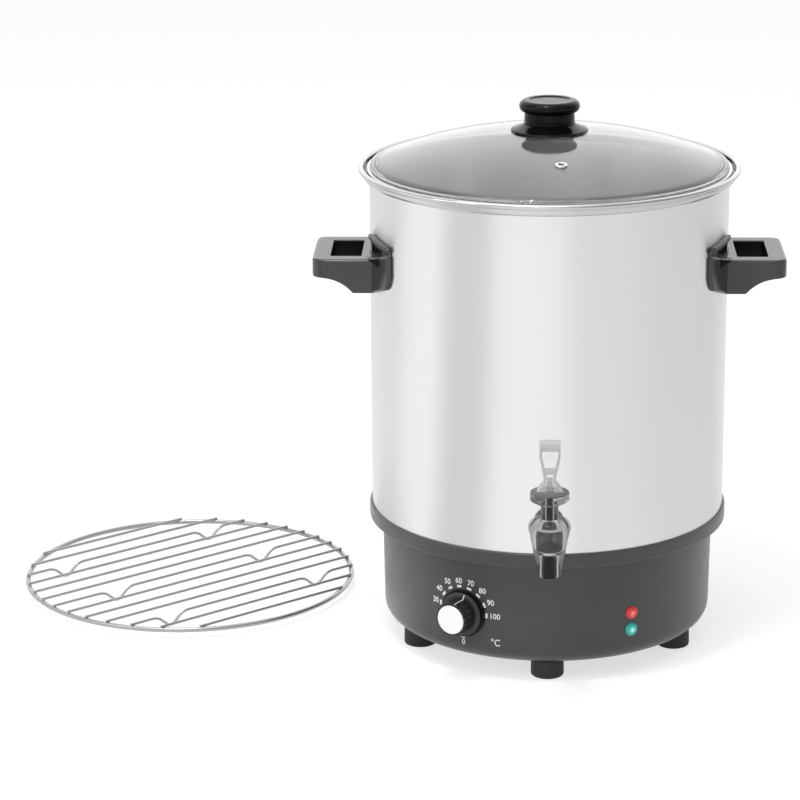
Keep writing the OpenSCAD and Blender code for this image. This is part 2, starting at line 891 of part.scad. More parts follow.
// Flares that run from the cheeks into the pad, seen from above
module cheek_flares() {
    side = handle_w / 2;
    far = side + cheek_flare;
    start = sqrt(pow(pad_r + cheek_flare, 2) - pow(far, 2));
    touch = asin(far / (pad_r + cheek_flare));
    for (flip = [0, 1])
        mirror([0, flip])
            polygon(concat(
                [[pot_r / 2, side / 2], [start, side / 2]],
                arc([start, far], cheek_flare, 270, 180 + touch),
                [[pot_r / 2, pad_r * sin(touch)]]
            ));
}

// Pad that hugs the pot, seen from outside, with raised ears
module pad_outline() {
    half = pad_w / 2;
    low = half - pad_round;
    right = concat(
        arc([low, handle_low + pad_round], pad_round, -90, 0),
        arc([half - 8, ear_z - ear_fall - 8], 8, 0, 85, 6),
        [[ear_in + 3, ear_z], [ear_in, ear_z - 3], [ear_in - 4, handle_z - handle_wall / 2]]
    );
    left = [for (i = [len(right) - 1:-1:0]) [-right[i][0], right[i][1]]];
    polygon(concat(right, left));
}

// Part of the pad below its shoulders, which rise towards the ends
module pad_shoulders() {
    end = pad_w / 2 + 1;
    rise = handle_z + shoulder_rise;
    intersection() {
        pad_outline();
        polygon([
            [-end, handle_low - 1], [end, handle_low - 1], [end, rise], [ear_in, handle_z - handle_wall / 2],
            [-ear_in, handle_z - handle_wall / 2], [-end, rise]
        ]);
    }
}

// Rolled lips along the top of the two ears
module pad_lips() {
    end = pad_w / 2 + 1;
    start = ear_in - 5;
    low = ear_z - ear_lip;
    intersection() {
        pad_outline();
        for (flip = [0, 1])
            mirror([flip, 0])
                polygon([[start, low], [end, low - ear_fall], [end, ear_z + 1], [start, ear_z + 1]]);
    }
}

// Layer on the pot's wall, out to a radius, with the outline of its children
module pad_layer(r) {
    intersection() {
        rotate([0, 0, -45])
            rotate_extrude(angle = 90)
                translate([pot_r, handle_low])
                    square([r - pot_r, ear_z - handle_low]);
        rotate([90, 0, 90])
            linear_extrude(2 * pot_r)
                children();
    }
}

// Pad with a hollow between its shoulders and the lips of its ears
module handle_pad() {
    pad_layer(pad_r - ear_hollow)
        pad_outline();
    pad_layer(pad_r)
        pad_shoulders();
    pad_layer(pad_r + 1)
        pad_lips();
}

// Moulded handle, open below, with a walled grip hole; made on the +X side
module handle() {
    difference() {
        union() {
            difference() {
                union() {
                    handle_block(0);
                    translate([0, 0, handle_low])
                        linear_extrude(handle_drop - top_round)
                            cheek_flares();
                }
                difference() {
                    handle_block(handle_wall);
                    translate([hole_in - handle_wall, -hole_w / 2 - handle_wall, handle_low - 1])
                        cube([hole_d + 2 * handle_wall, hole_w + 2 * handle_wall, handle_drop + 2]);
                    cylinder(r = pad_r, h = 2 * handle_z);
                }
                translate([hole_in, -hole_w / 2, handle_low - 1])
                    cube([hole_d, hole_w, handle_drop + 2]);
                translate([0, 0, handle_low - 1])
                    cylinder(r = pot_r, h = handle_drop + 2);
            }
            handle_pad();
        }
        for (side = [-1, 1])
            radial(side * handle_stud_turn, handle_stud_z)
                translate([0, 0, pot_r / 2])
                    cylinder(r = handle_stud_d / 2 + hole_gap, h = pot_r / 2 + pad_t + 1);
    }
}

module handle_right() color(black) handle();
module handle_left() color(black) mirror([1, 0, 0]) handle();

// Both sides of the kettle, each with its pair of studs
module at_handle_studs() {
    for (turn = [0, 180], side = [-1, 1])
        radial(turn + side * handle_stud_turn, handle_stud_z)
            children();
}

module handle_studs() {
    color(bright)
    at_handle_studs()
        translate([0, 0, pot_r])
            cylinder(d = handle_stud_d, h = pad_t + handle_nut_h + 1);
}

module handle_nuts() {
    color(bright)
    at_handle_studs()
        translate([0, 0, pad_r])
            hex_nut(1.75 * handle_stud_d, handle_nut_h, handle_stud_d / 2 + hole_gap / 4);
}

// Tap body: bulb with valve chamber, tapered spout and threaded shank
module tap_body() {
    color(smoky)
    difference() {
        union() {
            at_tap()
                rotate_extrude()
                    polygon(concat(
                        [[0, spout_z], [spout_tip_d / 2, spout_z], [bulb_low_d / 2, bulb_low]],
                        arc([bulb_d / 2 - bulb_round, bulb_mid], bulb_round, 0, 90),
                        [[0, bulb_top]]
                    ));
            at_shank() {
                translate([0, 0, shank_end])
                    cylinder(r = shank_r, h = -tap_y - shank_end);
                translate([0, 0, pot_r + gasket_t])
                    cylinder(r = shoulder_r, h = shoulder_t);
            }
        }
        at_tap()
            rotate_extrude()
                polygon([
                    [0, spout_z - 1], [spout_bore / 2, spout_z - 1], [spout_bore / 2, seat_low],
                    [chamber_d / 2, seat_high], [chamber_d / 2, chamber_top],
                    [neck_d / 2 + shaft_gap, chamber_top], [neck_d / 2 + shaft_gap, bulb_top + 1],
                    [0, bulb_top + 1]
                ]);
        at_shank()
            translate([0, 0, shank_end - 1])
                cylinder(d = shank_bore, h = -tap_y - shank_end + 1);
    }
}

// Bonnet: bevelled disc on a neck that screws into the bulb and guides the stem
module tap_bonnet() {
    rim = 0.8;
    color(smoky)
    at_tap()
        rotate_extrude()
            polygon([
                [stem_d / 2 + shaft_gap, chamber_top + 1], [neck_d / 2, chamber_top + 1],
                [neck_d / 2, bonnet_low], [neck_d / 2 + 3, bonnet_low],
                [bonnet_d / 2, bonnet_low + bonnet_h / 3], [bonnet_d / 2, bonnet_top - rim],
                [bonnet_d / 2 - rim, bonnet_top], [stem_d / 2 + shaft_gap, bonnet_top]
            ]);
}

// Ring seal cut to the curve of the wall, outside
module tap_gasket_outer() {
    color(rubber)
    difference() {
        at_shank()
            difference() {
                translate([0, 0, pot_r - 3])
                    cylinder(r = shoulder_r, h = gasket_t + 3);
                cylinder(r = shank_r + hole_gap, h = 2 * pot_r);
            }
        cylinder(r = pot_r, h = 2 * tap_z, $fn = 720);
    }
}

// Ring seal cut to the curve of the wall, inside
module tap_gasket_inner() {
    color(rubber)
    intersection() {
        at_shank()
            difference() {
                translate([0, 0, pot_in - gasket_t])
                    cylinder(r = shoulder_r, h = gasket_t + 3);
                cylinder(r = shank_r + hole_gap, h = 2 * pot_r);
            }
        cylinder(r = pot_in, h = 2 * tap_z, $fn = 720);
    }
}

module tap_nut() {
    color(pale)
    at_shank()
        translate([0, 0, pot_in - gasket_t - tap_nut_t])
            hex_nut(2 * shank_r + 9, tap_nut_t, shank_r + hole_gap / 4);
}

// Thermostat knob with a fluted grip
module knob_body() {
    flute_r = 1.9;
    color(rubber)
    radial(dial_angle, dial_z)
        difference() {
            union() {
                translate([0, 0, knob_back])
                    cylinder(d = knob_flange_d, h = knob_flange_t);
                translate([0, 0, knob_back + knob_flange_t - bit])
                    linear_extrude(knob_grip_h + bit)
                        difference() {
                            circle(d = knob_grip_d);
                            around(knob_flutes, knob_grip_d / 2 + flute_r / 2)
                                circle(r = flute_r);
                        }
            }
            translate([0, 0, knob_back - bit])
                cylinder(r = spindle_d / 2 + shaft_gap, h = spindle_out - knob_back + 0.5);
            translate([0, 0, knob_back - bit])
                cylinder(r = bushing_r + 1, h = knob_flange_t);
            translate([0, 0, knob_front - knob_cap_t / 2])
                cylinder(d = knob_cap_d + hole_gap, h = knob_cap_t);
        }
}

module knob_cap() {
    color(bright)
    radial(dial_angle, dial_z)
        translate([0, 0, knob_front - knob_cap_t / 2])
            cylinder(d = knob_cap_d, h = knob_cap_t);
}

module thermostat_spindle() {
    color(steel)
    radial(dial_angle, dial_z)
        translate([0, 0, spindle_in])
            cylinder(d = spindle_d, h = spindle_out - spindle_in);
}

// Stem: rod in the bonnet with a flat eye on top for the lever's pin
module tap_stem() {
    eye_z = pin_z + 4;
    color(pale)
    at_tap()
        difference() {
            union() {
                translate([0, 0, seat_high + 1])
                    cylinder(d = stem_d, h = bonnet_top + 1 - seat_high);
                translate([-tongue_w / 2, -tongue_d / 2, bonnet_top + 2 * rest_gap])
                    cube([tongue_w, tongue_d, eye_z - bonnet_top - 2 * rest_gap]);
                translate([-tongue_w / 2, 0, eye_z])
                    rotate([0, 90, 0])
                        cylinder(d = tongue_d, h = tongue_w);
            }
            translate([-tongue_w, 0, pin_z])
                rotate([0, 90, 0])
                    cylinder(r = pin_d / 2 + shaft_gap, h = 2 * tongue_w);
        }
}

// Silicone cup that closes the seat
module seat_cup() {
    seat_slope = [chamber_d / 2 - spout_bore / 2, seat_high - seat_low];
    lift = rest_gap / seat_slope[0] * norm(seat_slope);
    cup_r = chamber_d / 2 - 2 * rest_gap;
    cup_z = seat_low + (cup_r - spout_bore / 2) * seat_slope[1] / seat_slope[0] + lift;
    color("#d8d4cc")
    at_tap()
        rotate_extrude()
            polygon([
                [0, seat_low + lift], [spout_bore / 2, seat_low + lift], [cup_r, cup_z], [cup_r, cup_z + 3],
                [stem_d / 2 + 2.5, seat_high + 7], [stem_d / 2, seat_high + 7],
                [stem_d / 2, seat_high + 1], [0, seat_high + 1]
            ]);
}

// Lever seen from the front: flared foot, waist and open loop
module lever_front() {
    half = lever_w / 2;
    foot = lever_foot_w / 2;
    waist = slot_w / 2 + 2.5;
    rail = 2.3;
    waist_z = lever_foot_z + 9;
    loop_low = lever_foot_z + 21.5;
    loop_top = lever_top - 10.5;
    difference() {
        polygon([
            [-foot, lever_foot_z], [foot, lever_foot_z], [foot - 1, lever_foot_z + 2],
            [waist, waist_z], [waist, waist_z + 5], [half - 1.4, loop_low + 5], [half, loop_top - 6],
            [half, lever_top], [-half, lever_top], [-half, loop_top - 6], [1.4 - half, loop_low + 5],
            [-waist, waist_z + 5], [-waist, waist_z], [1 - foot, lever_foot_z + 2]
        ]);
        polygon([
            [2.2 * rail - half, loop_low], [half - 2.2 * rail, loop_low],
            [half - 1.4 - rail, loop_low + 5], [half - rail, loop_top - 6], [half - rail, loop_top],
            [rail - half, loop_top], [rail - half, loop_top - 6], [1.4 + rail - half, loop_low + 5]
        ]);
        translate([-slot_w / 2, lever_foot_z - 1])
            square([slot_w, 18]);
    }
}

// Lever seen from the side: thick foot with rounded edges, slim blade and round top bar
module lever_side() {
    foot = lever_foot_d / 2;
    polygon(concat(
        arc([foot - foot_edge, lever_foot_z + foot_edge], foot_edge, -90, 0, 6),
        [[foot, lever_foot_z + 6], [lever_t / 2, lever_foot_z + 13], [lever_t / 2, lever_top - 8]],
        arc([0, lever_top - 5.5], 5.5, -45, 225, 16),
        [[-lever_t / 2, lever_top - 8], [-lever_t / 2, lever_foot_z + 13], [-foot, lever_foot_z + 6]],
        arc([foot_edge - foot, lever_foot_z + foot_edge], foot_edge, 180, 270, 6)
    ));
}

module tap_lever() {
    color(pale)
    at_tap()
        difference() {
            intersection() {
                translate([0, bulb_d / 2, 0])
                    rotate([90, 0, 0])
                        linear_extrude(bulb_d)
                            lever_front();
                translate([-bulb_d / 2, 0, 0])
                    rotate([90, 0, 90])
                        linear_extrude(bulb_d)
                            lever_side();
            }
            translate([-lever_foot_w, 0, pin_z])
                rotate([0, 90, 0])
                    cylinder(r = pin_d / 2 + hole_gap / 4, h = 2 * lever_foot_w);
        }
}

module lever_pin() {
    pin_long = slot_w + 8;
    color(steel)
    at_tap()
        translate([-pin_long / 2, 0, pin_z])
            rotate([0, 90, 0])
                cylinder(d = pin_d, h = pin_long);
}

// Direction of the vent eyelet, square to the dome
module at_vent() {
    rotate([0, 0, vent_angle])
        translate([0, 0, dome_z])
            rotate([0, vent_tilt, 0])
                children();
}

// Domed glass with an upright shoulder and a flat brim
module lid_glass() {
    inner_edge = dome_edge - glass_t;
    edge_a = asin(dome_edge / dome_r);
    inner_a = asin(inner_edge / (dome_r - glass_t));
    color("#a9c4c8", 0.4)
    difference() {
        rotate_extrude()
            polygon(concat(
                arc([0, dome_z], dome_r, 90, 90 - edge_a, 24),
                [[dome_edge, glass_top], [glass_r, glass_top], [glass_r, glass_top - glass_t]],
                [[inner_edge, glass_top - glass_t]],
                arc([0, dome_z], dome_r - glass_t, 90 - inner_a, 90, 24)
            ));
        translate([0, 0, dome_top - 2 * glass_t])
            cylinder(r = lid_screw_r + hole_gap, h = 3 * glass_t);
        at_vent()
            translate([0, 0, dome_r - 2 * glass_t])
                cylinder(r = eyelet_d / 2 - 2, h = 3 * glass_t);
    }
}

// Steel band folded round the edge of the glass
module lid_band() {
    color(bright)
    rotate_extrude()
        polygon([
            [band_in, lid_top], [band_r, lid_top], [band_r, lid_low + 1], [band_r - 1, lid_low],
            [band_in, lid_low], [band_in, lid_low + band_t], [band_r - 1.4, lid_low + band_t],
            [band_r - band_t, lid_low + 1.4], [band_r - band_t, glass_top], [band_in, glass_top]
        ]);
}

// Flared base of the lid's knob, seated on the dome
module lid_knob_base() {
    low = dome_z + sqrt(pow(dome_r, 2) - pow(base_ring_r, 2));
    edge = low + 1.5;
    steps = 8;
    color(rubber)
    difference() {
        rotate_extrude()
            polygon(concat(
                [[lid_screw_r + hole_gap, low - 2], [base_ring_r - 1, low - 2]],
                [for (i = [0:steps])
                    [neck_r + (base_ring_r - neck_r) * pow(1 - i / steps, 1.4),
                        edge + (knob_base_top - edge) * i / steps]],
                [[lid_screw_r + hole_gap, knob_base_top]]
            ));
        translate([0, 0, dome_z])
            sphere(r = dome_r + hole_gap / 4, $fn = 360);
    }
}

// Mushroom knob with a grooved neck and a dished top
module lid_knob() {
    top_r = knob_top_d / 2;
    lip = knob_top_h / 2;
    dish = 1.5;
    groove = 0.5;
    grooves = 4;
    pitch = knob_neck_h / grooves;
    color(rubber)
    difference() {
        rotate_extrude()
            polygon(concat(
                [[0, knob_base_top], [neck_r, knob_base_top]],
                [for (i = [0:grooves - 1], p = [[0, 0.5], [groove, 0.7], [groove, 0.8], [0, 1]])
                    [neck_r - p[0], knob_base_top + (i + p[1]) * pitch]],
                arc([top_r - lip, knob_neck_top + lip], lip, -80, 80, 12),
                [[top_r * 0.68, lid_knob_top], [top_r * 0.6, lid_knob_top - dish], [0, lid_knob_top - dish]]
            ));
        translate([0, 0, knob_base_top - 1])
            cylinder(r = lid_screw_r + hole_gap / 4, h = knob_neck_h + 4);
    }
}

module lid_knob_screw() {
    low = dome_top - glass_t - washer_t - 3.5;
    color(bright)
    union() {
        translate([0, 0, low])
            cylinder(r = 2 * lid_screw_r, h = 3.5);
        translate([0, 0, low + 3])
            cylinder(r = lid_screw_r, h = knob_base_top + knob_neck_h - low - 3);
    }
}

module lid_knob_washer() {
    color(rubber)
    difference() {
        translate([0, 0, dome_top - glass_t - washer_t])
            intersection() {
                cylinder(r = washer_r, h = washer_t);
                translate([0, 0, washer_t - dome_r + glass_t])
                    sphere(r = dome_r - glass_t - hole_gap / 4, $fn = 360);
            }
        translate([0, 0, dome_top - 3 * glass_t])
            cylinder(r = lid_screw_r + hole_gap, h = 3 * glass_t);
    }
}

// Riveted steel eyelet that lets steam out
module vent_eyelet() {
    flange_r = eyelet_d / 2;
    tube_r = flange_r - 2 - hole_gap;
    color(bright)
    at_vent()
        translate([0, 0, dome_r])
            rotate_extrude()
                polygon([
                    [eyelet_bore / 2, -glass_t - 1.4], [tube_r + 1.6, -glass_t - 1.4],
                    [tube_r + 1.6, -glass_t - 0.4], [tube_r, -glass_t - 0.4], [tube_r, 0.2],
                    [flange_r, 0.2], [flange_r, 0.8], [flange_r - 1, 1.6], [eyelet_bore / 2 + 0.8, 1.6],
                    [eyelet_bore / 2, 0.8]
                ]);
}

// Puts its children where the rack lies beside the kettle
module at_rack() {
    translate([rack_x, rack_y, 0])
        rotate([0, 0, rack_turn])
            children();
}

module rack_ring() {
    color(bright)
    at_rack()
        rotate_extrude()
            translate([ring_orbit, ring_z])
                circle(d = ring_wire_d, $fn = 32);
}

// Half the length of a cross wire at a distance from the middle one
function half_chord(y) = sqrt(pow(ring_orbit, 2) - pow(y, 2));

// Straight cross wires, welded on top of the ring
module rack_wires() {
    color(bright)
    at_rack()
        for (i = [-wires_each_side:wires_each_side])
            if (i != 0 && abs(i) != foot_wire_step) {
                y = i * wire_pitch;
                end = half_chord(y);
                rod([-end, y, wire_z], [end, y, wire_z], cross_wire_d / 2, cross_wire_d / 4);
            }
}

// Cross wire with two feet bent down to the table
module foot_wire(i) {
    wire_r = cross_wire_d / 2;
    half_foot = wire_foot_w / 2;
    toe = wire_foot_w / 12;
    y = i * wire_pitch;
    end = half_chord(y);
    bend = [[-half_foot, wire_z], [-toe, wire_r], [toe, wire_r], [half_foot, wire_z]];
    bends = [for (at = [-wire_foot_at, wire_foot_at], p = bend) [at + p[0], p[1]]];
    path = concat([[-end, wire_z]], bends, [[end, wire_z]]);
    color(bright)
    at_rack()
        bent_wire([for (p = path) [p[0], y, p[1]]], wire_r);
}

module foot_wire_near() foot_wire(-foot_wire_step);
module foot_wire_middle() foot_wire(0);
module foot_wire_far() foot_wire(foot_wire_step);

pot();
base_housing();
bottom_cover();
cover_screws();
foot_front();
foot_left();
foot_right();
foot_rear_left();
foot_rear_right();
foot_screws();
heat_plate();
heating_element();
clamp_bar();
floor_studs();
stud_nuts();
thermal_cutout();
thermostat_body();
thermostat_sensor();
terminal_block();
wiring();
cord_gland();
dial_ring();
lamp_red();
lamp_green();
red_holder();
green_holder();
handle_left();
handle_right();
handle_studs();
handle_nuts();
tap_body();
tap_bonnet();
tap_gasket_outer();
tap_gasket_inner();
tap_nut();
knob_body();
knob_cap();
thermostat_spindle();
tap_stem();
seat_cup();
tap_lever();
lever_pin();
lid_glass();
lid_band();
lid_knob();
lid_knob_base();
lid_knob_screw();
lid_knob_washer();
vent_eyelet();
rack_ring();
rack_wires();
foot_wire_near();
foot_wire_middle();
foot_wire_far();
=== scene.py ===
"""Looks of the mulled wine kettle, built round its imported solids."""

import math

import bmesh
import bpy
from mathutils import Matrix, Vector


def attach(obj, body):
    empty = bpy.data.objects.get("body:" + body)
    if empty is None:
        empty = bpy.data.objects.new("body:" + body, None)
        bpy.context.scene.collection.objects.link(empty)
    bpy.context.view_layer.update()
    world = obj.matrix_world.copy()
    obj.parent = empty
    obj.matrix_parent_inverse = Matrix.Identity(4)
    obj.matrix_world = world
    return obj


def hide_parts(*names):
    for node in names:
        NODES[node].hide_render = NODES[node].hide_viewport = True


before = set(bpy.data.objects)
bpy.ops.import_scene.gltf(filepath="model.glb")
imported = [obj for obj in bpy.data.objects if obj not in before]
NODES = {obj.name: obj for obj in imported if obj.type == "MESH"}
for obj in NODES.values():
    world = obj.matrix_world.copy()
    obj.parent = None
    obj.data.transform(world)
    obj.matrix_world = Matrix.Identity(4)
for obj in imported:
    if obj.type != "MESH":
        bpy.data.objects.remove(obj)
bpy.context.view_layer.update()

scene = bpy.context.scene
MM = 0.001

# Sizes of the solids that the looks are fitted to, in millimetres
POT_R = 175.0
FOOT_ORBIT = 136.4
TAP_Y, SHANK_Z = -225.0, 168.0
DIAL_TURN, DIAL_Z = math.radians(-120), 65.0
LAMP_TURN, RED_Z, GREEN_Z = math.radians(-60.4), 66.4, 49.2
SKIRT_LOW, SKIRT_TOP = (163.0, 34.5), (164.6, 123.0)
KNOB_BACK, KNOB_DEEP = 166.05, 21
DOME_Z, DOME_R = 28.86, 483.64
VENT_OUT, VENT_TURN = 110, math.radians(-84.8)
RACK_AT, RACK_TURN = (-375.0, 124.0), math.radians(41)

# Handles: far end, lower and upper face, half width, rounds of the edges and of the outer corners
HANDLE_END, HANDLE_LOW, HANDLE_TOP, HANDLE_HALF = 230.0, 360.0, 393.5, 50.0
EDGE_R, CORNER_R = 3.2, 14
# Arch over the fingers, and the level underside beyond it
ARCH_AT, ARCH_R, ARCH_SWEEP, GRIP_LOW = (222, 334), 41, 50.6, 375
# Grip hole: near and far wall, half width; thickness of the moulding
HOLE_NEAR, HOLE_FAR, HOLE_HALF, WALL = 182.5, 212.5, 33, 3
HOLE_LOW, HOLE_TOP = 350, 400
# Pad on the pot, its raised ears, and the hollow of an ear by height and by distance from the middle
PAD_R, PAD_HALF, EAR_IN, EAR_TOP = 179, 89.5, 40.0, 418.5
EAR_HOLLOW_Z, EAR_HOLLOW_Y = (391.6, 408), (37, 74)

# Where the photograph was taken from, in metres; turn, tilt and roll of the camera, in radians
CAMERA_AT = (-0.03499, -2.96478, 1.11202)
CAMERA_YAW, CAMERA_PITCH, CAMERA_ROLL = -0.03774, 0.28662, -0.00689
LENS, SENSOR = 139.6, 36


def skirt_r(z):
    """Radius of the tapered skirt at a height."""
    share = (z - SKIRT_LOW[1]) / (SKIRT_TOP[1] - SKIRT_LOW[1])
    return SKIRT_LOW[0] + (SKIRT_TOP[0] - SKIRT_LOW[0]) * share


# ---- camera ----

def set_camera():
    """Puts the camera where the photograph was taken."""
    yaw, pitch, roll = CAMERA_YAW, CAMERA_PITCH, CAMERA_ROLL
    forward = Vector((math.sin(yaw) * math.cos(pitch), math.cos(yaw) * math.cos(pitch), -math.sin(pitch)))
    right = Vector((math.cos(yaw), -math.sin(yaw), 0))
    up = right.cross(forward)
    side = right * math.cos(roll) + up * math.sin(roll)
    top = up * math.cos(roll) - right * math.sin(roll)
    data = bpy.data.cameras.new("camera")
    data.sensor_width = SENSOR
    data.lens = LENS
    data.clip_end = 50
    camera = bpy.data.objects.new("camera", data)
    turn = Matrix((side, top, -forward)).transposed().to_4x4()
    camera.matrix_world = Matrix.Translation(CAMERA_AT) @ turn
    scene.collection.objects.link(camera)
    scene.camera = camera


set_camera()


# ---- node helpers ----

FLOAT, COLOUR = "NodeSocketFloat", "NodeSocketColor"


def link(tree, a, b):
    """Joins an output to an input."""
    tree.links.new(a, b)


def node(tree, kind, **values):
    """Adds a node; values are set on its inputs by name, or on the node itself."""
    made = tree.nodes.new(kind)
    for key, value in values.items():
        if key in made.inputs:
            made.inputs[key].default_value = value
        else:
            setattr(made, key, value)
    return made


def feed(tree, socket, value):
    """Gives an input a plain value or the output of another node."""
    if isinstance(value, bpy.types.NodeSocket):
        link(tree, value, socket)
    else:
        socket.default_value = value


def calc(tree, operation, *values):
    """Output of a math node."""
    made = node(tree, "ShaderNodeMath", operation=operation)
    for socket, value in zip(made.inputs, values):
        feed(tree, socket, value)
    return made.outputs[0]


def ranged(tree, value, to=(0.0, 1.0), start=(0.0, 1.0), kind="LINEAR"):
    """A value taken from one range to another and held at its ends."""
    made = node(tree, "ShaderNodeMapRange", interpolation_type=kind)
    link(tree, value, made.inputs["Value"])
    for label, given in zip(("From Min", "From Max", "To Min", "To Max"), (*start, *to)):
        feed(tree, made.inputs[label], given)
    return made.outputs[0]


def mixed(tree, kind, factor, a, b):
    """Mix of two colours or numbers."""
    made = node(tree, "ShaderNodeMix", data_type=kind)
    for label, given in (("Factor", factor), ("A", a), ("B", b)):
        feed(tree, made.inputs[label], given)
    return made.outputs["Result"]


def own_place(tree):
    """Place in the piece's own coordinates."""
    return node(tree, "ShaderNodeTexCoord").outputs["Object"]


def axes(tree):
    """X, Y and Z in the piece's own coordinates."""
    split = node(tree, "ShaderNodeSeparateXYZ")
    link(tree, own_place(tree), split.inputs[0])
    return [split.outputs[label] for label in "XYZ"]


def limits(tree, value, low, high):
    """1 where a value lies between two limits in mm, else 0."""
    above = calc(tree, "GREATER_THAN", value, low * MM)
    return calc(tree, "MULTIPLY", above, calc(tree, "LESS_THAN", value, high * MM))


def new_group(name, inputs):
    """Shader group for a surface, still empty; returns the tree and its two ends."""
    tree = bpy.data.node_groups.new(name, "ShaderNodeTree")
    for label, kind, value in inputs:
        socket = tree.interface.new_socket(label, in_out="INPUT", socket_type=kind)
        socket.default_value = value
    for label, kind in (("Colour", COLOUR), ("Roughness", FLOAT), ("Height", FLOAT)):
        tree.interface.new_socket(label, in_out="OUTPUT", socket_type=kind)
    return tree, tree.nodes.new("NodeGroupInput"), tree.nodes.new("NodeGroupOutput")


def end_group(tree, start, end, tone, rough, height):
    """Last links of a surface group; tone scales the colour."""
    tint = node(tree, "ShaderNodeVectorMath", operation="SCALE")
    link(tree, start.outputs["Colour"], tint.inputs[0])
    link(tree, tone, tint.inputs["Scale"])
    link(tree, tint.outputs[0], end.inputs["Colour"])
    link(tree, rough, end.inputs["Roughness"])
    link(tree, height, end.inputs["Height"])
    return tree


def moulded_grain():
    """Fine spark-eroded texture of moulded plastic, with a slow drift in gloss and tone."""
    tree, start, end = new_group(
        "moulded_grain",
        [("Colour", COLOUR, (0.05, 0.05, 0.05, 1)), ("Scale", FLOAT, 1200.0), ("Low", FLOAT, 0.3),
         ("High", FLOAT, 0.42), ("Drift", FLOAT, 0.12)])
    place, given = own_place(tree), start.outputs
    fine = node(tree, "ShaderNodeTexNoise", Detail=3.0, Roughness=0.6)
    slow = node(tree, "ShaderNodeTexNoise", Scale=14.0, Detail=3.0, Roughness=0.55)
    link(tree, place, fine.inputs["Vector"])
    link(tree, place, slow.inputs["Vector"])
    link(tree, given["Scale"], fine.inputs["Scale"])
    rough = ranged(tree, slow.outputs["Fac"], (given["Low"], given["High"]))
    least, most = (calc(tree, way, 1.0, given["Drift"]) for way in ("SUBTRACT", "ADD"))
    tone = ranged(tree, slow.outputs["Fac"], (least, most), (0.3, 0.7))
    return end_group(tree, start, end, tone, rough, fine.outputs["Fac"])


def turned_brush():
    """Fine lines round the upright axis, as rolling and polishing leave them on sheet steel."""
    tree, start, end = new_group(
        "turned_brush",
        [("Colour", COLOUR, (0.8, 0.8, 0.8, 1)), ("Lines", FLOAT, 900.0), ("Low", FLOAT, 0.2),
         ("High", FLOAT, 0.3), ("Drift", FLOAT, 0.03)])
    given = start.outputs
    x, y, z = axes(tree)
    join = node(tree, "ShaderNodeCombineXYZ")
    lines = node(tree, "ShaderNodeTexNoise", Scale=1.0, Detail=4.0, Roughness=0.65)
    cloud = node(tree, "ShaderNodeTexNoise", Scale=9.0, Detail=2.0, Roughness=0.5)
    link(tree, own_place(tree), cloud.inputs["Vector"])
    link(tree, calc(tree, "MULTIPLY", calc(tree, "ARCTAN2", y, x), 2.5), join.inputs["X"])
    link(tree, calc(tree, "MULTIPLY", z, given["Lines"]), join.inputs["Z"])
    link(tree, join.outputs[0], lines.inputs["Vector"])
    rough = ranged(tree, lines.outputs["Fac"], (given["Low"], given["High"]))
    tone = ranged(tree, cloud.outputs["Fac"], (calc(tree, "SUBTRACT", 1.0, given["Drift"]), 1.0))
    return end_group(tree, start, end, tone, rough, lines.outputs["Fac"])


GRAIN = moulded_grain()
BRUSH = turned_brush()


# ---- finishes ----

def blank(name):
    """New material, with its tree and its surface shader."""
    made = bpy.data.materials.new(name)
    made.use_nodes = True
    return made, made.node_tree, made.node_tree.nodes["Principled BSDF"]


def finish_with(name, group, bump, values, **shader):
    """Material whose colour, roughness and bump come from a group; plain values go on the shader."""
    made, tree, surface = blank(name)
    for key, value in shader.items():
        surface.inputs[key.replace("_", " ")].default_value = value
    effect = tree.nodes.new("ShaderNodeGroup")
    effect.node_tree = group
    for key, value in values.items():
        effect.inputs[key].default_value = value
    relief = node(tree, "ShaderNodeBump", Strength=bump, Distance=0.0002)
    link(tree, effect.outputs["Colour"], surface.inputs["Base Color"])
    link(tree, effect.outputs["Roughness"], surface.inputs["Roughness"])
    link(tree, effect.outputs["Height"], relief.inputs["Height"])
    link(tree, relief.outputs[0], surface.inputs["Normal"])
    return made


def plastic(name, colour, low, high, scale=1300.0, bump=0.12, **shader):
    """Moulded plastic or rubber, with the limits of its roughness."""
    values = {"Colour": (*colour, 1), "Scale": scale, "Low": low, "High": high}
    return finish_with(name, GRAIN, bump, values, **shader)


def metal(name, colour, low, high, lines=900.0, bump=0.05, **shader):
    """Brushed or drawn metal, with the limits of its roughness."""
    values = {"Colour": (*colour, 1), "Lines": lines, "Low": low, "High": high}
    return finish_with(name, BRUSH, bump, values, Metallic=1.0, **shader)


def brushed_round(made, amount):
    """Stretches the mirror image upright, as lines that run round the axis do."""
    tree = made.node_tree
    surface = tree.nodes["Principled BSDF"]
    surface.inputs["Anisotropic"].default_value = amount
    surface.inputs["Anisotropic Rotation"].default_value = 0.25
    way = node(tree, "ShaderNodeTangent", direction_type="RADIAL", axis="Z")
    link(tree, way.outputs[0], surface.inputs["Tangent"])
    return made


def let_light_through(made):
    """Lets shadow rays pass clear material, so that what lies behind it is lit."""
    tree = made.node_tree
    surface = tree.nodes["Principled BSDF"]
    out = tree.nodes["Material Output"]
    path = node(tree, "ShaderNodeLightPath")
    clear = node(tree, "ShaderNodeBsdfTransparent")
    mix = node(tree, "ShaderNodeMixShader")
    clear.inputs["Color"].default_value = surface.inputs["Base Color"].default_value
    link(tree, path.outputs["Is Shadow Ray"], mix.inputs["Fac"])
    link(tree, surface.outputs[0], mix.inputs[1])
    link(tree, clear.outputs[0], mix.inputs[2])
    link(tree, mix.outputs[0], out.inputs["Surface"])
    return made


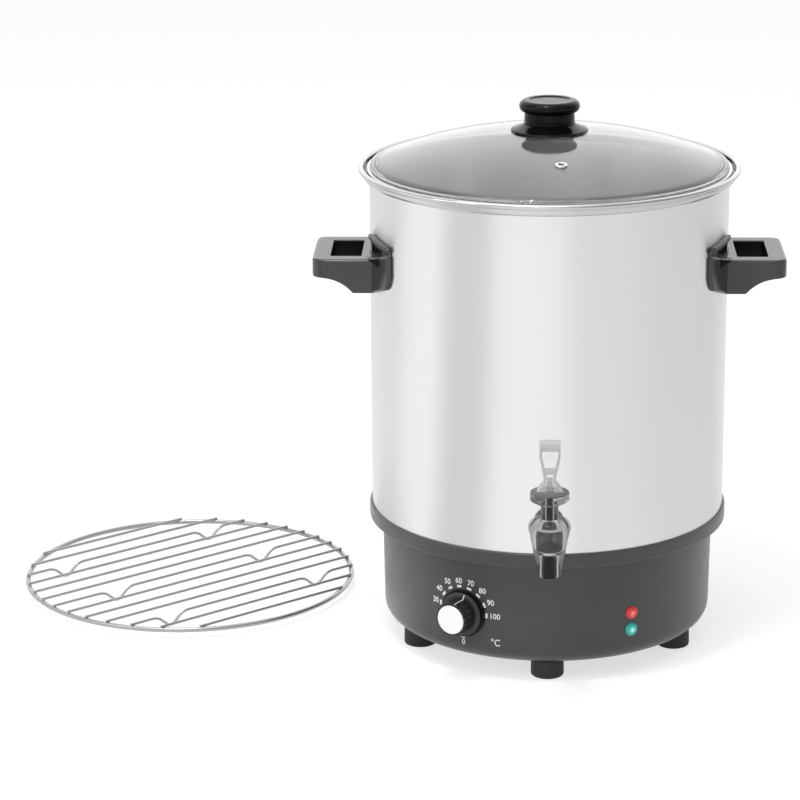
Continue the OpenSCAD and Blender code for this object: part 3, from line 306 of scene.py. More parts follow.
def clear_plastic(name, colour, roughness, ior=1.49, clear=1.0):
    """Tinted see-through or milky plastic or glass, with faint swirls in its gloss."""
    made, tree, surface = blank(name)
    surface.inputs["Base Color"].default_value = (*colour, 1)
    surface.inputs["Transmission Weight"].default_value = clear
    surface.inputs["IOR"].default_value = ior
    swirl = node(tree, "ShaderNodeTexNoise", Scale=60.0, Detail=2.0)
    relief = node(tree, "ShaderNodeBump", Strength=0.05, Distance=0.0003)
    rough = ranged(tree, swirl.outputs["Fac"], (roughness * 0.6, roughness * 1.4))
    link(tree, own_place(tree), swirl.inputs["Vector"])
    link(tree, rough, surface.inputs["Roughness"])
    link(tree, swirl.outputs["Fac"], relief.inputs["Height"])
    link(tree, relief.outputs[0], surface.inputs["Normal"])
    return let_light_through(made)


def smoke_with_painted_dark_core(name, pale, dark):
    """Smoky plastic, with painted darkness down the middle of the spout that stands in for the dark base seen through
    it.
    """
    made = clear_plastic(name, pale, 0.1, ior=1.3)
    tree = made.node_tree
    x, _, z = axes(tree)
    inside = ranged(tree, calc(tree, "ABSOLUTE", x), start=(6.5 * MM, 3.5 * MM), kind="SMOOTHSTEP")
    below = ranged(tree, z, start=(160 * MM, 154 * MM), kind="SMOOTHSTEP")
    # Painted darkness: the dark base seen through the spout, put into the tint
    tint = mixed(tree, "RGBA", calc(tree, "MULTIPLY", inside, below), (*pale, 1), (*dark, 1))
    link(tree, tint, tree.nodes["Principled BSDF"].inputs["Base Color"])
    return made


def all_of(tree, values):
    """Product of several masks."""
    total = values[0]
    for value in values[1:]:
        total = calc(tree, "MULTIPLY", total, value)
    return total


def paint_hollow_shade(made):
    """Paints shade inside the grip hole and in the hollow of the ears: near-black colour and less gloss where shade
    falls.
    """
    tree = made.node_tree
    surface = tree.nodes["Principled BSDF"]
    x, y, z = axes(tree)
    flat = node(tree, "ShaderNodeCombineXYZ")
    out = node(tree, "ShaderNodeVectorMath", operation="LENGTH")
    link(tree, x, flat.inputs["X"])
    link(tree, y, flat.inputs["Y"])
    link(tree, flat.outputs[0], out.inputs[0])
    across, along = calc(tree, "ABSOLUTE", x), calc(tree, "ABSOLUTE", y)
    edge = 0.6
    hole = all_of(tree, [limits(tree, across, HOLE_NEAR - edge, HOLE_FAR + edge),
                         limits(tree, along, -1, HOLE_HALF + edge), limits(tree, z, HOLE_LOW, HANDLE_TOP - 1.2)])
    ear = all_of(tree, [limits(tree, out.outputs["Value"], POT_R - 5, PAD_R + 2.5),
                        limits(tree, z, *EAR_HOLLOW_Z), limits(tree, along, *EAR_HOLLOW_Y)])
    mask = calc(tree, "MAXIMUM", hole, ear)
    plain = surface.inputs["Base Color"].links[0].from_socket
    # Painted shade: near-black colour and less gloss in the grip hole and the ear hollows
    tint = mixed(tree, "RGBA", mask, plain, (0.006, 0.006, 0.006, 1))
    shine = calc(tree, "MULTIPLY_ADD", mask, -0.5, surface.inputs["Specular IOR Level"].default_value)
    link(tree, tint, surface.inputs["Base Color"])
    link(tree, shine, surface.inputs["Specular IOR Level"])
    return made


def lamp_glow(name, colour, core, turn, z):
    """Ribbed lens, lit from inside: brightest in the middle."""
    made, tree, surface = blank(name)
    surface.inputs["Coat Weight"].default_value = 0.4
    surface.inputs["Emission Strength"].default_value = 0.6
    radius = (skirt_r(z) + 2.6) * MM
    apart = node(tree, "ShaderNodeVectorMath", operation="DISTANCE")
    apart.inputs[1].default_value = (radius * math.cos(turn), radius * math.sin(turn), z * MM)
    ramp = node(tree, "ShaderNodeValToRGB")
    ramp.color_ramp.elements[0].color = (*core, 1)
    ramp.color_ramp.elements[1].color = (*[c * 0.45 for c in colour], 1)
    ramp.color_ramp.elements[1].position = 1.0
    middle = ramp.color_ramp.elements.new(0.45)
    middle.color = (*colour, 1)
    relief = node(tree, "ShaderNodeBump", Strength=0.25, Distance=0.0002)
    link(tree, own_place(tree), apart.inputs[0])
    share = calc(tree, "MULTIPLY", apart.outputs["Value"], 1 / (7.4 * MM))
    ribs = calc(tree, "SINE", calc(tree, "MULTIPLY", apart.outputs["Value"], 7500.0))
    link(tree, share, ramp.inputs["Fac"])
    link(tree, ribs, relief.inputs["Height"])
    link(tree, relief.outputs[0], surface.inputs["Normal"])
    link(tree, ranged(tree, share, (0.12, 0.3)), surface.inputs["Roughness"])
    link(tree, ramp.outputs["Color"], surface.inputs["Base Color"])
    link(tree, ramp.outputs["Color"], surface.inputs["Emission Color"])
    return made


STEEL = brushed_round(metal("pot_steel", (0.80, 0.80, 0.80), 0.22, 0.25, bump=0.008), 0.8)
RIM = metal("rim_steel", (0.62, 0.62, 0.62), 0.1, 0.16, bump=0.01)
BRIGHT = metal("bright_steel", (0.7, 0.7, 0.71), 0.1, 0.16, bump=0.02)
DULL_STEEL = metal("element_steel", (0.55, 0.56, 0.57), 0.25, 0.4)
ALLOY = metal("alloy", (0.72, 0.73, 0.75), 0.25, 0.4)
BRASS = metal("sensor_brass", (0.78, 0.6, 0.3), 0.2, 0.35)
WIRE = metal("rack_wire", (0.45, 0.45, 0.45), 0.24, 0.34, lines=300.0)
# The cap's faint emission is painted light: it makes the white cap brighter than the lamps alone make it
GLOWING_CAP = plastic("knob_cap", (0.97, 0.97, 0.97), 0.3, 0.4, bump=0.05,
              Emission_Color=(1, 1, 1, 1), Emission_Strength=0.15)
BASE_BLACK = plastic("base_plastic", (0.048, 0.048, 0.048), 0.28, 0.36, Sheen_Weight=0.3)
# Handle plastic, with painted shade in its grip hole and ear hollows
HANDLE_BLACK = paint_hollow_shade(plastic("handle_plastic", (0.042, 0.042, 0.042), 0.2, 0.28, Specular_IOR_Level=0.6))
KNOB_BLACK = plastic("knob_plastic", (0.004, 0.004, 0.004), 0.14, 0.2, bump=0.04, Specular_IOR_Level=0.18)
GRIP_BLACK = plastic("grip_plastic", (0.02, 0.02, 0.02), 0.16, 0.24, bump=0.04)
FLANGE_BLACK = plastic("flange_plastic", (0.025, 0.025, 0.025), 0.25, 0.35)
WASHER_GREY = plastic("washer_plastic", (0.09, 0.09, 0.09), 0.15, 0.25, bump=0.04)
RUBBER = plastic("foot_rubber", (0.02, 0.02, 0.02), 0.5, 0.65, scale=700.0, bump=0.3)
SEAL = plastic("black_rubber", (0.018, 0.018, 0.018), 0.45, 0.6, scale=800.0, bump=0.2)
LEAD = plastic("wire_rubber", (0.3, 0.03, 0.025), 0.35, 0.5)
CREAM = plastic("white_plastic", (0.8, 0.8, 0.77), 0.35, 0.5)
SILICONE = plastic("silicone", (0.42, 0.42, 0.41), 0.45, 0.6)
INK = plastic("scale_ink", (0.98, 0.98, 0.98), 0.45, 0.6)
# Tap plastic: smoky tint, with a painted dark band down the middle of the spout
SMOKE_WITH_PAINTED_CORE = smoke_with_painted_dark_core("smoky_plastic", (0.28, 0.28, 0.28), (0.04, 0.04, 0.04))
DARK_SMOKE = clear_plastic("bonnet_plastic", (0.1, 0.1, 0.1), 0.08, ior=1.35)
PALE = clear_plastic("pale_plastic", (0.67, 0.68, 0.69), 0.3, clear=0.35)
GLASS = clear_plastic("lid_pane", (0.66, 0.665, 0.663), 0.012, ior=1.6)
RED = lamp_glow("red_lens", (0.55, 0.02, 0.025), (0.8, 0.22, 0.2), LAMP_TURN, RED_Z)
GREEN = lamp_glow("green_lens", (0.01, 0.36, 0.3), (0.45, 0.85, 0.75), LAMP_TURN, GREEN_Z)

CAD_FINISH = {
    "bottom_cover": BASE_BLACK, "cover_screws": BRIGHT, "foot_screws": BRIGHT, "heat_plate": ALLOY,
    "heating_element": DULL_STEEL, "clamp_bar": DULL_STEEL, "floor_studs": BRIGHT, "stud_nuts": BRIGHT,
    "thermal_cutout": ALLOY, "thermostat_body": ALLOY, "thermostat_sensor": BRASS,
    "terminal_block": CREAM, "wiring": LEAD, "cord_gland": SEAL, "red_holder": CREAM, "green_holder": CREAM,
    "handle_studs": BRIGHT, "handle_nuts": BRIGHT, "tap_gasket_outer": SEAL, "tap_gasket_inner": SEAL,
    "tap_nut": PALE, "thermostat_spindle": DULL_STEEL, "seat_cup": SILICONE,
    "lever_pin": BRIGHT, "lid_knob_screw": BRIGHT, "lid_knob_washer": SEAL,
}
for name, finish in CAD_FINISH.items():
    mesh = NODES[name].data
    mesh.materials.clear()
    mesh.materials.append(finish)


# ---- mesh helpers ----

ROUND_STEPS = 5
# Points nearer than this are one, in metres
TOUCH = 1e-7


def rounded_face(corners, place):
    """Bmesh with one face through the corners (a, b, radius in mm); place puts (a, b) in space."""
    bm = bmesh.new()
    verts = [bm.verts.new(place(a * MM, b * MM)) for a, b, _ in corners]
    bm.faces.new(verts)
    for radius in sorted({c[2] for c in corners if c[2]}):
        chosen = [v for v, c in zip(verts, corners) if c[2] == radius]
        bmesh.ops.bevel(bm, geom=chosen, offset=radius * MM, offset_type="OFFSET", affect="VERTICES",
                        segments=ROUND_STEPS, profile=0.5, material=-1)
    return bm


def spun(bm, steps):
    """Skin from an outline's edges, taken once round Z."""
    bmesh.ops.spin(bm, geom=bm.verts[:] + bm.edges[:], cent=(0, 0, 0), axis=(0, 0, 1), dvec=(0, 0, 0),
                   angle=2 * math.pi, steps=steps, use_merge=True, use_normal_flip=False, use_duplicate=False)
    bmesh.ops.remove_doubles(bm, verts=bm.verts[:], dist=TOUCH)
    bmesh.ops.recalc_face_normals(bm, faces=bm.faces[:])
    return bm


def turned(corners, steps=192):
    """Solid of revolution round Z from a closed outline of (radius, height, rounding) in mm."""
    bm = rounded_face(corners, lambda a, b: (a, 0, b))
    bmesh.ops.delete(bm, geom=bm.faces[:], context="FACES_ONLY")
    on_axis = [e for e in bm.edges if all(v.co.x < TOUCH for v in e.verts)]
    bmesh.ops.delete(bm, geom=on_axis, context="EDGES_FACES")
    return spun(bm, steps)


def arc(at, r, start, sweep, steps):
    """Points of an outline on an arc, from a start angle through a sweep in degrees."""
    turns = [math.radians(start + sweep * i / steps) for i in range(steps + 1)]
    return [(at[0] + r * math.cos(a), at[1] + r * math.sin(a), 0) for a in turns]


def prism(corners, place, along):
    """Solid from a rounded outline, pushed along a vector in mm."""
    bm = rounded_face(corners, place)
    grown = bmesh.ops.extrude_face_region(bm, geom=bm.faces[:])
    far = [g for g in grown["geom"] if isinstance(g, bmesh.types.BMVert)]
    bmesh.ops.translate(bm, verts=far, vec=Vector(along) * MM)
    bmesh.ops.recalc_face_normals(bm, faces=bm.faces[:])
    return bm


def from_curve(data):
    """Bmesh of a curve or of lettering."""
    carrier = bpy.data.objects.new("carrier", data)
    scene.collection.objects.link(carrier)
    bpy.context.view_layer.update()
    mesh = bpy.data.meshes.new_from_object(carrier.evaluated_get(bpy.context.evaluated_depsgraph_get()))
    bpy.data.objects.remove(carrier)
    bm = bmesh.new()
    bm.from_mesh(mesh)
    return bm


def moved(bm, matrix):
    """The same bmesh in another place."""
    bmesh.ops.transform(bm, matrix=matrix, verts=bm.verts[:])
    return bm


def joined(parts):
    """One bmesh from several."""
    whole = bmesh.new()
    for part in parts:
        mesh = bpy.data.meshes.new("part")
        part.to_mesh(mesh)
        part.free()
        whole.from_mesh(mesh)
        bpy.data.meshes.remove(mesh)
    return whole


def radial(turn, z):
    """Frame on a level axis that points outwards: local Z is outward and local Y runs round the kettle."""
    return (Matrix.Rotation(turn, 4, "Z") @ Matrix.Translation((0, 0, z * MM))
            @ Matrix.Rotation(math.pi / 2, 4, "Y"))


def around(r, degrees):
    """Shift from the axis to a place on a circle round it, in mm."""
    turn = math.radians(degrees)
    return Matrix.Translation((r * MM * math.cos(turn), r * MM * math.sin(turn), 0))


AT_TAP = Matrix.Translation((0, TAP_Y * MM, 0))


def loose(name, bm):
    """Mesh object from a bmesh, not yet finished."""
    mesh = bpy.data.meshes.new(name)
    bm.to_mesh(mesh)
    bm.free()
    made = bpy.data.objects.new(name, mesh)
    scene.collection.objects.link(made)
    return made


def settle(made):
    """Bakes an object's modifiers into its mesh."""
    bpy.context.view_layer.update()
    shape = made.evaluated_get(bpy.context.evaluated_depsgraph_get())
    mesh = bpy.data.meshes.new_from_object(shape)
    made.modifiers.clear()
    made.data = mesh
    return made


def combine(made, others, operation):
    """Boolean of an object with others, which are used up."""
    for other in others:
        change = made.modifiers.new("combine", "BOOLEAN")
        change.object = other
        change.operation = operation
        change.solver = "EXACT"
    settle(made)
    for other in others:
        bpy.data.objects.remove(other)
    return made


def soften(made, grain):
    """Rebuilds a solid in steps of a grain in mm and smooths it, so that each edge is round as on a moulding."""
    fine = made.modifiers.new("fine", "REMESH")
    fine.mode = "VOXEL"
    fine.voxel_size = grain * MM
    soft = made.modifiers.new("soft", "SMOOTH")
    soft.factor = 0.5
    soft.iterations = 5
    return settle(made)


def dress(made, body, finish, replaces=(), sharp=32):
    """Smooth shading, material, body and hidden replaced nodes of a finished piece."""
    mesh = made.data
    mesh.polygons.foreach_set("use_smooth", [True] * len(mesh.polygons))
    mesh.set_sharp_from_angle(angle=math.radians(sharp))
    mesh.materials.clear()
    mesh.materials.append(finish)
    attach(made, body)
    if replaces:
        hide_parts(*replaces)
    return made


def piece(name, bm, body, finish, replaces=(), sharp=32):
    """Finished piece from a bmesh."""
    return dress(loose(name, bm), body, finish, replaces, sharp)


# ---- pot ----

def pot_outline():
    """Sheet from the floor up the wall to the ledge for the lid."""
    return [(0, 139.8, 0), (174, 139.8, 0), (174, 129, 0), (175, 129, 0), (175, 466, 1.2), (177, 466, 0),
            (177, 467, 0), (174, 467, 1.0), (174, 141, 5), (0, 141, 0)]


def rim_outline():
    """Ledge, upstand and rolled bead."""
    bead = arc((183.35, 475.7), 2.6, -120, 300, 20)
    return [(177, 466, 0), (182, 466, 5)] + bead + [(181, 467, 4), (177, 467, 0)]


piece("pot_shell", turned(pot_outline(), 256), "kettle", STEEL, ["pot"])
piece("pot_rim", turned(rim_outline(), 256), "kettle", RIM)


# ---- base ----

def base_outline():
    """Collar, seat, skirt, bottom curve and cover flange."""
    return [(157.6, 126, 0), (157.6, 129, 0), (175.2, 129, 0), (175.2, 137, 0.6), (177.6, 137, 1.6),
            (177.6, 123, 1.6), (164.6, 123, 1.5), (skirt_r(18.5), 18.5, 16), (141.2, 18.5, 0.8), (141.2, 21, 0),
            (130, 21, 0), (130, 24, 1), (160.2, 24, 12), (161.6, 126, 0)]


piece("base_shell", turned(base_outline(), 256), "kettle", BASE_BLACK, ["base_housing"])


def foot_outline():
    """Rubber foot with a recess for its screw."""
    return [(4.5, 0, 0), (4.5, 9.25, 0), (1.95, 9.25, 0), (1.95, 18.5, 0), (15.6, 18.5, 0.6), (16.0, 14, 2),
            (16.2, 0, 2.6)]


FEET = {"foot_front": -90, "foot_left": -157.5, "foot_right": -22.5, "foot_rear_left": 126, "foot_rear_right": 54}
for name, degrees in FEET.items():
    place = around(FOOT_ORBIT, degrees)
    piece(name + "_pad", moved(turned(foot_outline(), 72), place), "kettle", RUBBER, [name])


# ---- dial and lamps ----

DIAL_FRAME = radial(DIAL_TURN, DIAL_Z)
dial_face = skirt_r(DIAL_Z) + 2


def dial_ring_outline():
    """Flat-faced ring behind the knob."""
    return [(5.2, 160, 0), (23.75, 160, 0), (23.75, dial_face, 0.9), (5.2, dial_face, 0)]


piece("dial_backing", moved(turned(dial_ring_outline(), 96), DIAL_FRAME), "kettle", KNOB_BLACK,
      ["dial_ring"])


def knob_grip():
    """Grip with upright finger flutes cut round it."""
    low, top = KNOB_BACK + 3.5, KNOB_BACK + KNOB_DEEP
    grip = loose("knob_grip", turned([(0, low, 0), (16.5, low, 0), (16.5, top, 0.9), (0, top, 0)], 144))
    flutes = []
    for i in range(18):
        flute = turned([(0, low + 0.6, 0), (2.0, low + 0.6, 0), (2.0, top + 1, 0), (0, top + 1, 0)], 24)
        flutes.append(moved(flute, around(17.55, 20 * i + 10)))
    combine(grip, [loose("flutes", joined(flutes))], "DIFFERENCE")
    grip.data.transform(DIAL_FRAME)
    return grip


def knob_flange_outline():
    """Skirt of the knob, next to the dial."""
    return [(6, KNOB_BACK, 0), (21.75, KNOB_BACK, 0.5), (21.75, KNOB_BACK + 2.8, 0.9), (18.5, KNOB_BACK + 4, 1.5),
            (10, KNOB_BACK + 4, 0), (6, KNOB_BACK + 4, 0)]


dress(knob_grip(), "control_knob", GRIP_BLACK, ["knob_body"])
piece("knob_flange", moved(turned(knob_flange_outline(), 96), DIAL_FRAME), "control_knob", FLANGE_BLACK)


def knob_cap_outline():
    """Disc in the front of the knob, with a fine raised edge."""
    top = KNOB_BACK + KNOB_DEEP
    return [(0, top - 0.8, 0), (14.25, top - 0.8, 0), (14.25, top + 0.8, 0.6), (13.1, top + 0.8, 0.2),
            (12.7, top + 0.6, 0.2), (0, top + 0.6, 0)]


piece("knob_disc", moved(turned(knob_cap_outline(), 96), DIAL_FRAME), "control_knob", GLOWING_CAP,
      ["knob_cap"])


# Middle of the printed scale, right of the knob's axis and above it
SCALE_AT = (-0.8, 0.8)


def printed(words, size, u, v, extrude=0.06):
    """Flat lettering as a bmesh; u runs to the right and v up, in mm."""
    text = bpy.data.curves.new("printed", "FONT")
    text.body = words
    text.size = size * MM
    text.extrude = extrude * MM
    text.offset = 0.12 * MM
    text.align_x = "CENTER"
    text.align_y = "CENTER"
    text.resolution_u = 6
    bm = from_curve(text)
    bmesh.ops.scale(bm, vec=(0.93, 1, 1), verts=bm.verts[:])
    bmesh.ops.translate(bm, vec=(u * MM, v * MM, 0), verts=bm.verts[:])
    return bm


def dash(long, thick, u, v, turn):
    """Flat bar of the dial's scale."""
    half = (long / 2, thick / 2)
    bm = prism([(-half[0], -half[1], 0.2), (half[0], -half[1], 0.2), (half[0], half[1], 0.2),
                (-half[0], half[1], 0.2)], lambda a, b: (a, b, 0), (0, 0, 0.12))
    bmesh.ops.subdivide_edges(bm, edges=[e for e in bm.edges if e.calc_length() > 1.5 * MM], cuts=2)
    return moved(bm, Matrix.Translation((u * MM, v * MM, 0)) @ Matrix.Rotation(turn, 4, "Z"))


def on_skirt(bm, lift=0.05):
    """Wraps a flat print round the skirt, about the dial's axis."""
    for v in bm.verts:
        z = DIAL_Z + SCALE_AT[1] + v.co.y / MM
        r = skirt_r(z) + lift + v.co.z / MM
        turn = DIAL_TURN + (SCALE_AT[0] + v.co.x / MM) / skirt_r(z)
        v.co = Vector((r * math.cos(turn), r * math.sin(turn), z)) * MM
    return bm


def dial_scale():
    """Numbers from 30 to 100 and 0 round the dial, with a dash at each, and the unit."""
    parts = []
    for i, words in enumerate(["100", "90", "80", "70", "60", "50", "40", "30"]):
        a = math.radians(24.3 * i)
        parts.append(dash(5.0, 2.3, 26.0 * math.cos(a), 26.0 * math.sin(a), a + math.pi / 2))
        out = 28.2 + abs(math.cos(a)) * 2.05 * len(words) + abs(math.sin(a)) * 2.8
        parts.append(printed(words, 8.0, out * math.cos(a), out * math.sin(a)))
    parts.append(dash(4.6, 0.9, 0.6, -26.2, 0))
    parts.append(printed("0", 8.0, 0.8, -31.0))
    parts.append(printed("°C", 9.6, 35.0, -27.0))
    return on_skirt(joined(parts))


piece("dial_scale", dial_scale(), "kettle", INK)


def knob_pointer():
    """White line along the grip and over the flange, at the number that is set."""
    on_grip = prism([(-0.45, 0, 0.1), (0.45, 0, 0.1), (0.45, 0.35, 0.1), (-0.45, 0.35, 0.1)],
                    lambda a, b: (a, b + 16.35 * MM, (KNOB_BACK + 4.2) * MM), (0, 0, 16.2))
    on_flange = prism([(-0.5, 16.4, 0.1), (0.5, 16.4, 0.1), (0.5, 21.3, 0.1), (-0.5, 21.3, 0.1)],
                      lambda a, b: (a, b, (KNOB_BACK + 4.15) * MM - 0.22 * max(b - 18.2 * MM, 0)), (0, 0, 0.12))
    bm = joined([on_grip, on_flange])
    return moved(bm, DIAL_FRAME @ Matrix.Rotation(math.radians(77), 4, "Z"))


piece("knob_pointer", knob_pointer(), "control_knob", INK)


def lamp_outline(z):
    """Stepped lens of a pilot lamp at a height."""
    face = skirt_r(z)
    return [(0, face - 5, 0), (5.1, face - 5, 0), (5.1, face - 0.4, 0), (6.7, face - 0.4, 0), (6.7, face + 0.9, 0.5),
            (5.6, face + 1.3, 0.4), (4.4, face + 2.3, 1.2), (2.4, face + 2.95, 1.2), (0, face + 3, 0)]


piece("red_lens", moved(turned(lamp_outline(RED_Z), 64), radial(LAMP_TURN, RED_Z)), "kettle", RED,
      ["lamp_red"])
piece("green_lens", moved(turned(lamp_outline(GREEN_Z), 64), radial(LAMP_TURN, GREEN_Z)), "kettle", GREEN,
      ["lamp_green"])


# ---- handles ----

def handle_block(inset):
    """Body of the handle: side view with the arch over the fingers, end view and plan, crossed."""
    far, half, top = HANDLE_END - inset, HANDLE_HALF - inset, HANDLE_TOP - inset
    edge, corner = EDGE_R - inset, CORNER_R - inset
    arch = arc((ARCH_AT[0], ARCH_AT[1] - inset), ARCH_R, 90, ARCH_SWEEP, 12)
    side = [(170, top, 0), (far, top, edge), (far, GRIP_LOW - inset, 0)] + arch + [(170, HANDLE_LOW - inset, 0)]
    end = [(-half, HANDLE_LOW - 6, 0), (half, HANDLE_LOW - 6, 0), (half, top, edge), (-half, top, edge)]
    plan = [(140, -half, 0), (far, -half, corner), (far, half, corner), (140, half, 0)]
    block = loose("block", prism(side, lambda a, b: (a, -0.06, b), (0, 120, 0)))
    ends = loose("ends", prism(end, lambda a, b: (0.1, a, b), (200, 0, 0)))
    plans = loose("plans", prism(plan, lambda a, b: (a, b, 0.34), (0, 0, 80)))
    return combine(block, [ends, plans], "INTERSECT")


def box(low, high):
    """Square block between two corners."""
    base = [(low[0], low[1], 0), (high[0], low[1], 0), (high[0], high[1], 0), (low[0], high[1], 0)]
    return loose("box", prism(base, lambda a, b: (a, b, low[2] * MM), (0, 0, high[2] - low[2])))


def drum(r):
    """Round block on the pot's axis."""
    return loose("drum", turned([(0, 330, 0), (r, 330, 0), (r, 440, 0), (0, 440, 0)], 256))


def pad_layer(r_in, r, corners):
    """Layer on the pot's wall, between two radii, with an outline seen from outside."""
    layer = loose("layer", prism(corners, lambda a, b: (0.13, a, b), (70, 0, 0)))
    ring = loose("ring", turned([(r_in, 340, 0), (r, 340, 0), (r, 430, 0), (r_in, 430, 0)], 256))
    return combine(layer, [ring], "INTERSECT")


def mirrored(corners):
    """The same outline on the other side of the middle."""
    return [(-a, b, c) for a, b, c in reversed(corners)]


def handle_pad():
    """Pad that hugs the pot, with raised ears, each with a hollow and a rolled lip.

    The layers start at slightly different radii and edges, so that no two faces lie in one plane.
    """
    low, rise = HANDLE_LOW, HANDLE_TOP + 12
    ear = [(HANDLE_HALF - 2, low, 0), (PAD_HALF - 5, low + 12, 3), (PAD_HALF, low + 22, 5),
           (PAD_HALF, EAR_TOP - 4, 8), (EAR_IN + 3, EAR_TOP, 3), (EAR_IN - 4, HANDLE_TOP - 1.5, 0)]
    shoulder = [(HANDLE_HALF - 2.1, low + 0.1, 0), (PAD_HALF - 5.1, low + 12.1, 3), (PAD_HALF - 0.1, low + 22, 5),
                (PAD_HALF - 0.1, rise, 0), (EAR_IN, HANDLE_TOP - 1.6, 0)]
    lip = [(PAD_HALF - 0.2, EAR_TOP - 9, 0), (PAD_HALF - 0.2, EAR_TOP - 4.2, 4), (EAR_IN + 3, EAR_TOP - 0.2, 2),
           (EAR_IN - 0.8, EAR_TOP - 5, 0)]
    layers = [pad_layer(POT_R + 0.4, PAD_R, shoulder + mirrored(shoulder))]
    layers += [pad_layer(POT_R + 0.7, PAD_R + 1, outline) for outline in (lip, mirrored(lip))]
    return combine(pad_layer(POT_R, POT_R + 1.5, ear + mirrored(ear)), layers, "UNION")


def grip_box(grow):
    """Block in the place of the grip hole, grown on all four sides."""
    half = HOLE_HALF + grow
    return box((HOLE_NEAR - grow, -half, HOLE_LOW), (HOLE_FAR + grow, half, HOLE_TOP))


def handle_solid():
    """Moulded handle on the +X side, open below, with a walled grip hole."""
    hollow = combine(handle_block(WALL), [grip_box(WALL), drum(PAD_R)], "DIFFERENCE")
    body = combine(handle_block(0), [drum(POT_R + 0.2), grip_box(0), hollow], "DIFFERENCE")
    return combine(body, [handle_pad()], "UNION")


def moulded(name, flip):
    """Handle with softened edges; the left one is mirrored."""
    made = handle_solid()
    made.name = name + "_moulding"
    if flip:
        made.data.transform(Matrix.Scale(-1, 4, (1, 0, 0)))
        made.data.flip_normals()
    return soften(made, 0.7)


for name in ("handle_left", "handle_right"):
    dress(moulded(name, name == "handle_left"), "kettle", HANDLE_BLACK, [name], sharp=60)


# ---- tap ----

def tap_body_outline():
    """Bulb and tapered spout."""
    return [(0, 133, 0), (10.2, 133, 1.0), (18.2, 173, 3), (20, 180.2, 0.5), (20, 190.2, 9), (8.2, 190.2, 0.8),
            (8.2, 180, 0), (0, 180, 0)]


def tap_bore_outline():
    """Spout's bore, valve chamber and thread."""
    return [(0, 132, 0), (7.2, 132, 0), (7.2, 156, 1), (12.5, 160, 1), (12.5, 180, 0), (8.16, 180.5, 0),
            (8.16, 192, 0), (0, 192, 0)]


def on_shank(bm):
    """Turns a piece made round Z on to the level axis from the tap to the pot."""
    return moved(bm, Matrix.Translation((0, 0, SHANK_Z * MM)) @ Matrix.Rotation(math.pi / 2, 4, "X"))


def tap_moulding():
    """Bulb, spout and shank in one, with the valve chamber and bores cut out."""
    bulb = loose("tap_moulding", moved(turned(tap_body_outline(), 96), AT_TAP))
    shank = loose("shank", on_shank(turned([(0, 160, 0), (10.5, 160, 0.8), (10.5, 178, 0), (15, 178, 0.8),
                                            (15, 183, 1.5), (10.5, 183, 1), (10.5, 222, 0), (0, 222, 0)], 72)))
    combine(bulb, [shank], "UNION")
    bore = loose("bore", moved(turned(tap_bore_outline(), 72), AT_TAP))
    way = loose("way", on_shank(turned([(0, 159, 0), (6.5, 159, 0), (6.5, 225, 0), (0, 225, 0)], 48)))
    return combine(bulb, [bore, way], "DIFFERENCE")


dress(tap_moulding(), "kettle", SMOKE_WITH_PAINTED_CORE, ["tap_body"], sharp=40)


def bonnet_outline():
    """Bonnet with its neck and a groove round its head."""
    return [(3.06, 181, 0), (8.1, 181, 0), (8.1, 204, 0.8), (11.1, 204, 1.2), (18.4, 208, 0.8), (18.4, 210.6, 0.5),
            (17.6, 211.3, 0.3), (17.6, 212.1, 0.3), (18.4, 212.8, 0.5), (18.4, 215.2, 0.5), (3.06, 215.2, 0.5)]


piece("bonnet", moved(turned(bonnet_outline(), 96), AT_TAP), "kettle", DARK_SMOKE, ["tap_bonnet"])


def bonnet_washer_outline():
    """Thin washer on the bonnet's head."""
    return [(4.2, 215.2, 0), (17.9, 215.2, 0), (17.9, 216, 0.35), (4.2, 216, 0.3)]


piece("bonnet_washer", moved(turned(bonnet_washer_outline(), 96), AT_TAP), "kettle", WASHER_GREY)


def softened(node_name, name):
    """Softened copy of a small solid of the tap."""
    bm = bmesh.new()
    bm.from_mesh(NODES[node_name].data)
    bmesh.ops.remove_doubles(bm, verts=bm.verts[:], dist=1e-6)
    return soften(loose(name, bm), 0.3)


dress(softened("tap_lever", "lever_moulding"), "tap_lever", PALE, ["tap_lever"], sharp=60)
dress(softened("tap_stem", "stem_moulding"), "tap_stem", PALE, ["tap_stem"], sharp=60)

# The brushed pot shows no image of the tap in front of it
for name in ("tap_moulding", "bonnet", "bonnet_washer", "lever_moulding", "stem_moulding"):
    scene.objects[name].visible_glossy = False


# ---- lid ----

def dome_points(r, low, steps, rounding=0):
    """Points of the dome's arc from its edge to the axis."""
    edge = math.asin(low / r)
    return [(r * math.sin(edge * (1 - i / steps)), DOME_Z + r * math.cos(edge * (1 - i / steps)), rounding)
            for i in range(steps + 1)]


def pane_outline():
    """Domed glass with a flat edge for the band and a hole for the knob's screw."""
    outer = dome_points(DOME_R, 173.4, 30)
    inner = dome_points(DOME_R - 4, 169.6, 30)
    shoulder = [(174.3, 475.5, 0), (174.3, 478.9, 0), (174.05, 479.6, 0)]
    return ([(177, 471.5, 1.5), (177, 475.5, 1.5)] + shoulder + outer[:-1] + [(2.7, outer[-1][1], 0)]
            + [(2.7, inner[-1][1], 0)] + inner[-2::-1] + [(170.3, 475.8, 0), (170.3, 471.5, 0)])


piece("lid_pane", turned(pane_outline(), 256), "lid", GLASS, ["lid_glass"], sharp=50)


def band_outline():
    """Steel channel round the edge of the glass."""
    return [(174.8, 475.5, 0), (174.8, 476.3, 0.3), (178, 476.3, 1.2), (178, 467.3, 1.2), (174.8, 467.3, 0.3),
            (174.8, 468.1, 0), (177.2, 468.1, 0.6), (177.2, 475.5, 0.4)]


piece("lid_rim_band", turned(band_outline(), 256), "lid", BRIGHT, ["lid_band"])


